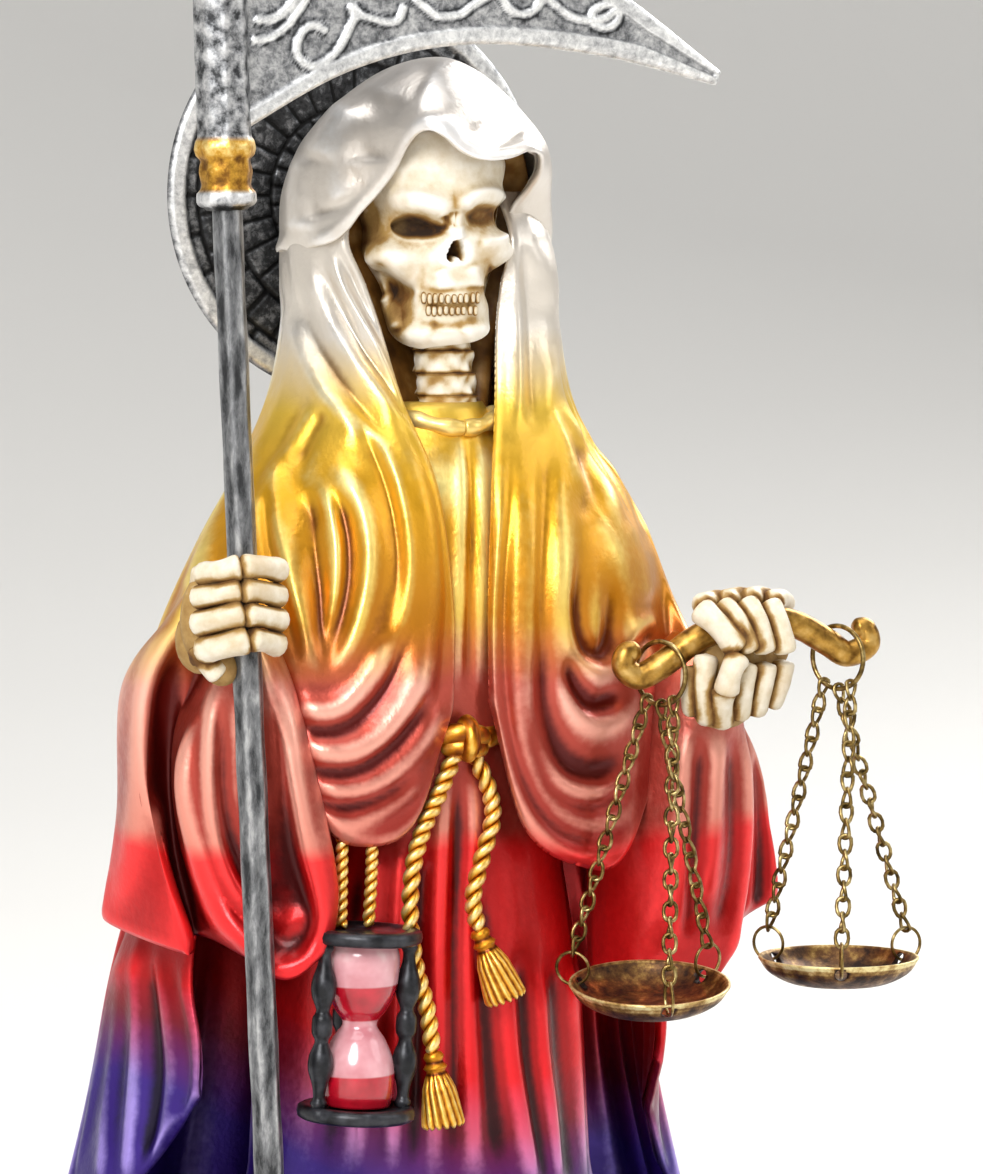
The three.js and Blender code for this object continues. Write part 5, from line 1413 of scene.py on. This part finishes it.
def makeHalo():
    radius = halo["radius"]
    field = radius - halo["rimWidth"]  # the engraved part
    angle, reach = around(280), np.linspace(0.05, 1, 80)[None] * radius
    rim = smoothstep(reach, field, field + 0.7) * (1 - smoothstep(reach, radius - 1.0, radius) * 0.7)
    groove = np.zeros(np.broadcast_shapes(angle.shape, reach.shape))
    for k, (ring, nextRing) in enumerate(zip(halo["rings"], (*halo["rings"][1:], field))):
        groove = np.maximum(groove, bell(reach, ring, 0.36))
        off = np.abs((angle * halo["rays"] / turn + 0.5 * (k % 2)) % 1 - 0.5) / halo["rays"] * turn * reach
        groove = np.maximum(groove, bell(off, 0, 0.34) * (reach > ring) * (reach < nextRing))
    front = halo["back"] - rim * (halo["rimHeight"] - 0.05) + 0.6 * groove * (1 - rim) + 0.02
    rear = halo["back"] + halo["thick"] - 0.5 * smoothstep(reach, radius - 0.8, radius)
    x, z = halo["middle"]
    across, up = x - reach * np.sin(angle), z + reach * np.cos(angle)
    face, rearFace = (np.stack(np.broadcast_arrays(across, y, up), -1) for y in (front, rear))
    relief = np.clip(0.4 + 0.4 * rim - 0.35 * groove + 0.1 * bell(reach, 32.8, 0.8), 0, 1)
    bm = bmesh.new()
    gridMesh(bm, face, relief, closed=True)
    gridMesh(bm, rearFace[:, ::4], 0.45, closed=True)
    middle = Vector((x, 0, z)) * mm
    hub = [edge for edge in openEdges(bm) if (edge.verts[0].co - middle).xz.length < radius / 2 * mm]
    bmesh.ops.holes_fill(bm, edges=hub, sides=0)
    bmesh.ops.bridge_loops(bm, edges=openEdges(bm))
    return finished(bm, "halo_disc", haloIron, "black_silver_paint", "halo")


makeHalo()
print("halo made")


# balance

balance = dict(
    beam=[(27.2, -36.9, 155), (24.8, -36.6, 154.6), (24.5, -36.5, 152.1), (27.2, -37, 150.4),
          (31.6, -37.9, 152.6), (36.9, -39, 156.6), (42.5, -40.4, 159.3), (48.1, -41.5, 160.5),
          (55.4, -43, 159.5), (61.1, -44.6, 156.3),
          (65, -45.6, 153.9), (68.8, -46.3, 155.5), (68.4, -46.1, 158.3), (66.2, -45.6, 158.3)],
    beamRadius=2.5, taper=[(0, 0.5), (0.03, 0.78), (0.16, 0.92), (0.3, 1), (0.7, 1), (0.84, 0.92),
                           (0.97, 0.78), (1, 0.5)],
    hanger=12.4, hangerWire=0.9, slack=1.4, facing=0.434, ring=6.7, ringWire=0.6,
    pan=29.5, panDepth=5.2, wall=0.8, hole=2.2, holeDrop=1.5, tiltAxis=(0.914, -0.407, 0),
    dish=[(0.34, 0.985), (0.62, 0.9), (0.87, 0.54), (0.995, 0.06)],  # shares of the radius and the depth
    linkLong=4.3, linkWide=3.1, linkWire=0.72, linkTwist=0.5,
    # for each pan: where it hangs along the beam, its middle, its tilt and how it is turned
    pans=(("inner", 0.3, (28, -40, 95.1), 0.14, 0.31), ("outer", 0.735, (63.4, -46, 98.6), 0.0, 0.07)),
)


def makeBeam():
    shares, sizes = zip(*balance["taper"])
    radius = lambda t: balance["beamRadius"] * float(np.interp(t, shares, sizes))
    grid = barGrid(balance["beam"], radius, 32, 220)
    return barPiece("beam_bar", [(grid, 0.5)], bronze, "bronze_paint", "balance_beam")


def ringPiece(name, node, middle, across, diameter, wire, steps, sides):
    bm = bmesh.new()
    place = Matrix.Translation(middle * mm) @ across.to_track_quat("Z", "Y").to_matrix().to_4x4()
    out = Matrix.Translation(((diameter - wire) / 2 * mm, 0, 0)) @ Matrix.Rotation(turn / 4, 4, "X")
    circle = bmesh.ops.create_circle(bm, segments=sides, radius=wire / 2 * mm, matrix=place @ out)["verts"]
    edges = list({edge for vert in circle for edge in vert.link_edges})
    bmesh.ops.spin(bm, geom=circle + edges, cent=place.translation, axis=place.to_3x3() @ Vector((0, 0, 1)),
                   angle=turn, steps=steps, use_merge=True)
    return finished(bm, name, brass, "antique_brass", node)


def linkMesh(bm, place, size):  # one curb link: an oblong of wire, twisted along its length
    before = set(bm.verts)
    r = (balance["linkWide"] - balance["linkWire"]) / 2
    circle = bmesh.ops.create_circle(bm, segments=6, radius=balance["linkWire"] / 2)["verts"]
    for vert in circle:
        vert.co = Vector((r + vert.co.x, 0, vert.co.y))
    edges = list({edge for vert in circle for edge in vert.link_edges})
    bmesh.ops.spin(bm, geom=circle + edges, cent=(0, 0, 0), axis=(0, 0, 1), angle=turn, steps=14,
                   use_merge=True)
    stretch = (size - balance["linkWide"]) / 2
    for vert in set(bm.verts) - before:
        p = vert.co.copy()
        p.y += stretch * max(-1.0, min(1.0, p.y / (0.6 * r)))
        lean = balance["linkTwist"] * p.y / (size / 2)
        p.x, p.z = p.x * math.cos(lean) - p.z * math.sin(lean), p.x * math.sin(lean) + p.z * math.cos(lean)
        vert.co = place @ (p * mm)


def makeChain(name, node, start, finish, firstWire, lastWire):
    line = finish - start
    down = line.normalized()
    across = (firstWire - down * firstWire.dot(down)).normalized()
    facing = math.atan2(lastWire.dot(down.cross(across)), lastWire.dot(across))
    count = round(line.length / (balance["linkLong"] - 2 * balance["linkWire"]))
    pace = line.length / count
    halves = round((facing - (count - 1) * turn / 4) / (turn / 2))
    twist = (facing - halves * turn / 2) / (count - 1)
    bm = bmesh.new()
    for k in range(count):
        normal = across.copy()
        normal.rotate(Matrix.Rotation(k * twist, 3, down))
        place = Matrix((down.cross(normal), down, normal)).transposed().to_4x4()
        place.translation = (start + down * ((k + 0.5) * pace)) * mm
        linkMesh(bm, place, pace + 2 * balance["linkWire"] * 0.96)
    return finished(bm, name, brass, "antique_brass", node)


def dishLine(radius, depth):  # a dish's section, from its middle out to the rim
    return rounded([(0.02, -depth)] + [(x * radius, -z * depth) for x, z in balance["dish"]], 8)


def makeDish(side, lean):
    radius, depth, wall = balance["pan"] / 2, balance["panDepth"], balance["wall"]
    outer, inner = dishLine(radius, depth), dishLine(radius - wall, depth - wall)
    lip = [(radius - 0.12, -0.02), (radius - wall / 2, 0), (radius - wall + 0.1, -0.02)]
    place = lean.copy()
    place.translation = lean.translation * mm
    bm = bmesh.new()
    turned(bm, [(0, -depth), *outer[1:], *lip, *inner[:0:-1], (0, wall - depth)], place, 80)
    layer = reliefLayer(bm)
    for vert in bm.verts:
        p = lean.inverted() @ (vert.co / mm)
        out = math.hypot(p.x, p.y) / radius
        well = p.z > -depth + wall * 0.5 + 0.6 * depth * max(0, out - 0.7) and out < 0.93
        vert[layer] = 0.78 if out > 0.955 and p.z > -0.9 else 0.36 if well else 0.52
    return finished(bm, f"dish_{side}", panSkin, "bronze_paint", f"pan_{side}")


def cutOut(piece, drills):
    cut = piece.modifiers.new("holes", "BOOLEAN")
    cut.operation, cut.object, cut.solver = "DIFFERENCE", drills, "EXACT"
    bpy.context.view_layer.objects.active = piece
    bpy.ops.object.modifier_apply(modifier=cut.name)
    bpy.data.objects.remove(drills)


def makeScale(side, hangAt, panAt, tilt, spin):
    hangerRadius = (balance["hanger"] - balance["hangerWire"]) / 2
    ringRadius = (balance["ring"] - balance["ringWire"]) / 2
    holeRadius = (0.93 * balance["pan"] - balance["wall"]) / 2
    facing = balance["facing"]
    across = Vector((math.cos(facing), math.sin(facing), 0))
    walk = Vector((-math.sin(facing), math.cos(facing), 0))
    drop = hangerRadius - balance["hangerWire"] / 2 - balance["beamRadius"] - balance["slack"]
    hanger = Vector(along(balance["beam"], np.array([hangAt]))[0]) - Vector((0, 0, drop))
    lean = Matrix.Translation(panAt) @ Matrix.Rotation(tilt, 4, Vector(balance["tiltAxis"]))
    dish = makeDish(side, lean)
    drills = bmesh.new()
    angles = [spin + k * turn / 3 for k in range(3)]
    spread = [math.sin(angle - facing) for angle in angles]
    for k, angle in enumerate(angles):
        outward = Vector((math.cos(angle), math.sin(angle), 0))
        hole = outward * holeRadius + Vector((0, 0, -balance["holeDrop"]))
        aimed = lean.to_3x3() @ outward.to_track_quat("Z", "Y").to_matrix()
        bmesh.ops.create_cone(drills, cap_ends=True, segments=24, radius1=balance["hole"] / 2 * mm,
                              radius2=balance["hole"] / 2 * mm, depth=6 * mm,
                              matrix=Matrix.Translation((lean @ hole) * mm) @ aimed.to_4x4())
        middle = lean @ (hole + (outward * 0.42 + Vector((0, 0, 0.907))) * ringRadius)
        upright = (lean.to_3x3() @ outward.cross(Vector((0, 0, 1)))).normalized()
        ringPiece(f"small_ring_{side}_{k + 1}", f"pan_ring_{side}_{k + 1}", middle, upright,
                  balance["ring"], balance["ringWire"], 40, 8)
        swing = 0.55 * (sum(other < spread[k] for other in spread) - 1)  # where the chain sits in the ring
        start = hanger + walk * hangerRadius * math.sin(swing)
        start.z += -hangerRadius * math.cos(swing) + balance["hangerWire"] / 2 + 0.1
        finish = middle + Vector((0, 0, ringRadius - balance["ringWire"] / 2 - 0.1))
        makeChain(f"links_{side}_{k + 1}", f"chain_{side}_{k + 1}", start, finish, walk, outward)
    cutOut(dish, meshPiece(drills, "drills"))
    ringPiece(f"large_ring_{side}", f"hanger_ring_{side}", hanger, across, balance["hanger"],
              balance["hangerWire"], 72, 12)


makeBeam()
for scale in balance["pans"]:
    makeScale(*scale)
print("balance hung")


# the studio

studio = dict(
    floor="dad8d4", flat=0.8, reach=2.4, rise=1.1, sky=(0.95, 0.97, 1.0, 1.0), skyPower=0.2, aim=(0, 0, 0.15),
    lights=dict(  # place, power and size
        key=((-0.8, -0.95, 0.9), 20, 0.8), fill=((1.1, -0.8, 0.9), 4, 0.9),
        rim=((0.9, 0.5, 0.9), 13, 0.8), top=((-0.3, -0.2, 2.6), 42, 2.4),
    ),
)


def softLight(name, place, power, size):
    data = bpy.data.lights.new(name, "AREA")
    data.shape, data.size, data.energy = "DISK", size, power
    lamp = linked(name, data)
    lamp.location = place
    lamp.rotation_euler = (Vector(studio["aim"]) - Vector(place)).to_track_quat("-Z", "Y").to_euler()


def setFloor():  # it curves up into a wall far away, all the way round
    bm = bmesh.new()
    bmesh.ops.create_circle(bm, cap_ends=True, segments=96, radius=studio["flat"])
    for k in range(1, 13):
        made = bmesh.ops.extrude_edge_only(bm, edges=openEdges(bm))["geom"]
        angle = k / 12 * turn / 4
        out = studio["flat"] + (studio["reach"] - studio["flat"]) * math.sin(angle)
        for vert in made:
            if isinstance(vert, bmesh.types.BMVert):
                side = Vector((vert.co.x, vert.co.y)).normalized() * out
                vert.co = (side.x, side.y, studio["rise"] * (1 - math.cos(angle)))
    for face in bm.faces:
        face.smooth = True
    floor = meshPiece(bm, "floor")
    plain = Finish("studio_floor")
    plain.surface("Base Color", tone(studio["floor"]))
    plain.surface("Roughness", 0.7)
    floor.data.materials.append(plain.material)


def setLights():
    world = bpy.data.worlds.new("studio")
    bpy.context.scene.world = world
    world.use_nodes = True
    sky = world.node_tree.nodes["Background"]
    sky.inputs["Color"].default_value = studio["sky"]
    sky.inputs["Strength"].default_value = studio["skyPower"]
    for name, settings in studio["lights"].items():
        softLight(name, *settings)


def setCamera():
    data = bpy.data.cameras.new("camera")
    data.sensor_fit, data.sensor_height, data.sensor_width = "VERTICAL", 36, 36
    data.lens = 36 * view["distance"] / view["span"]
    data.clip_start, data.clip_end = 0.01, 20
    camera = linked("camera", data)
    camera.location = Vector(viewEye) * mm
    camera.rotation_euler = Vector(-viewBack).to_track_quat("-Z", "Y").to_euler()
    bpy.context.scene.camera = camera


setFloor()
setLights()
setCamera()
bpy.context.scene.view_settings.view_transform = "Standard"
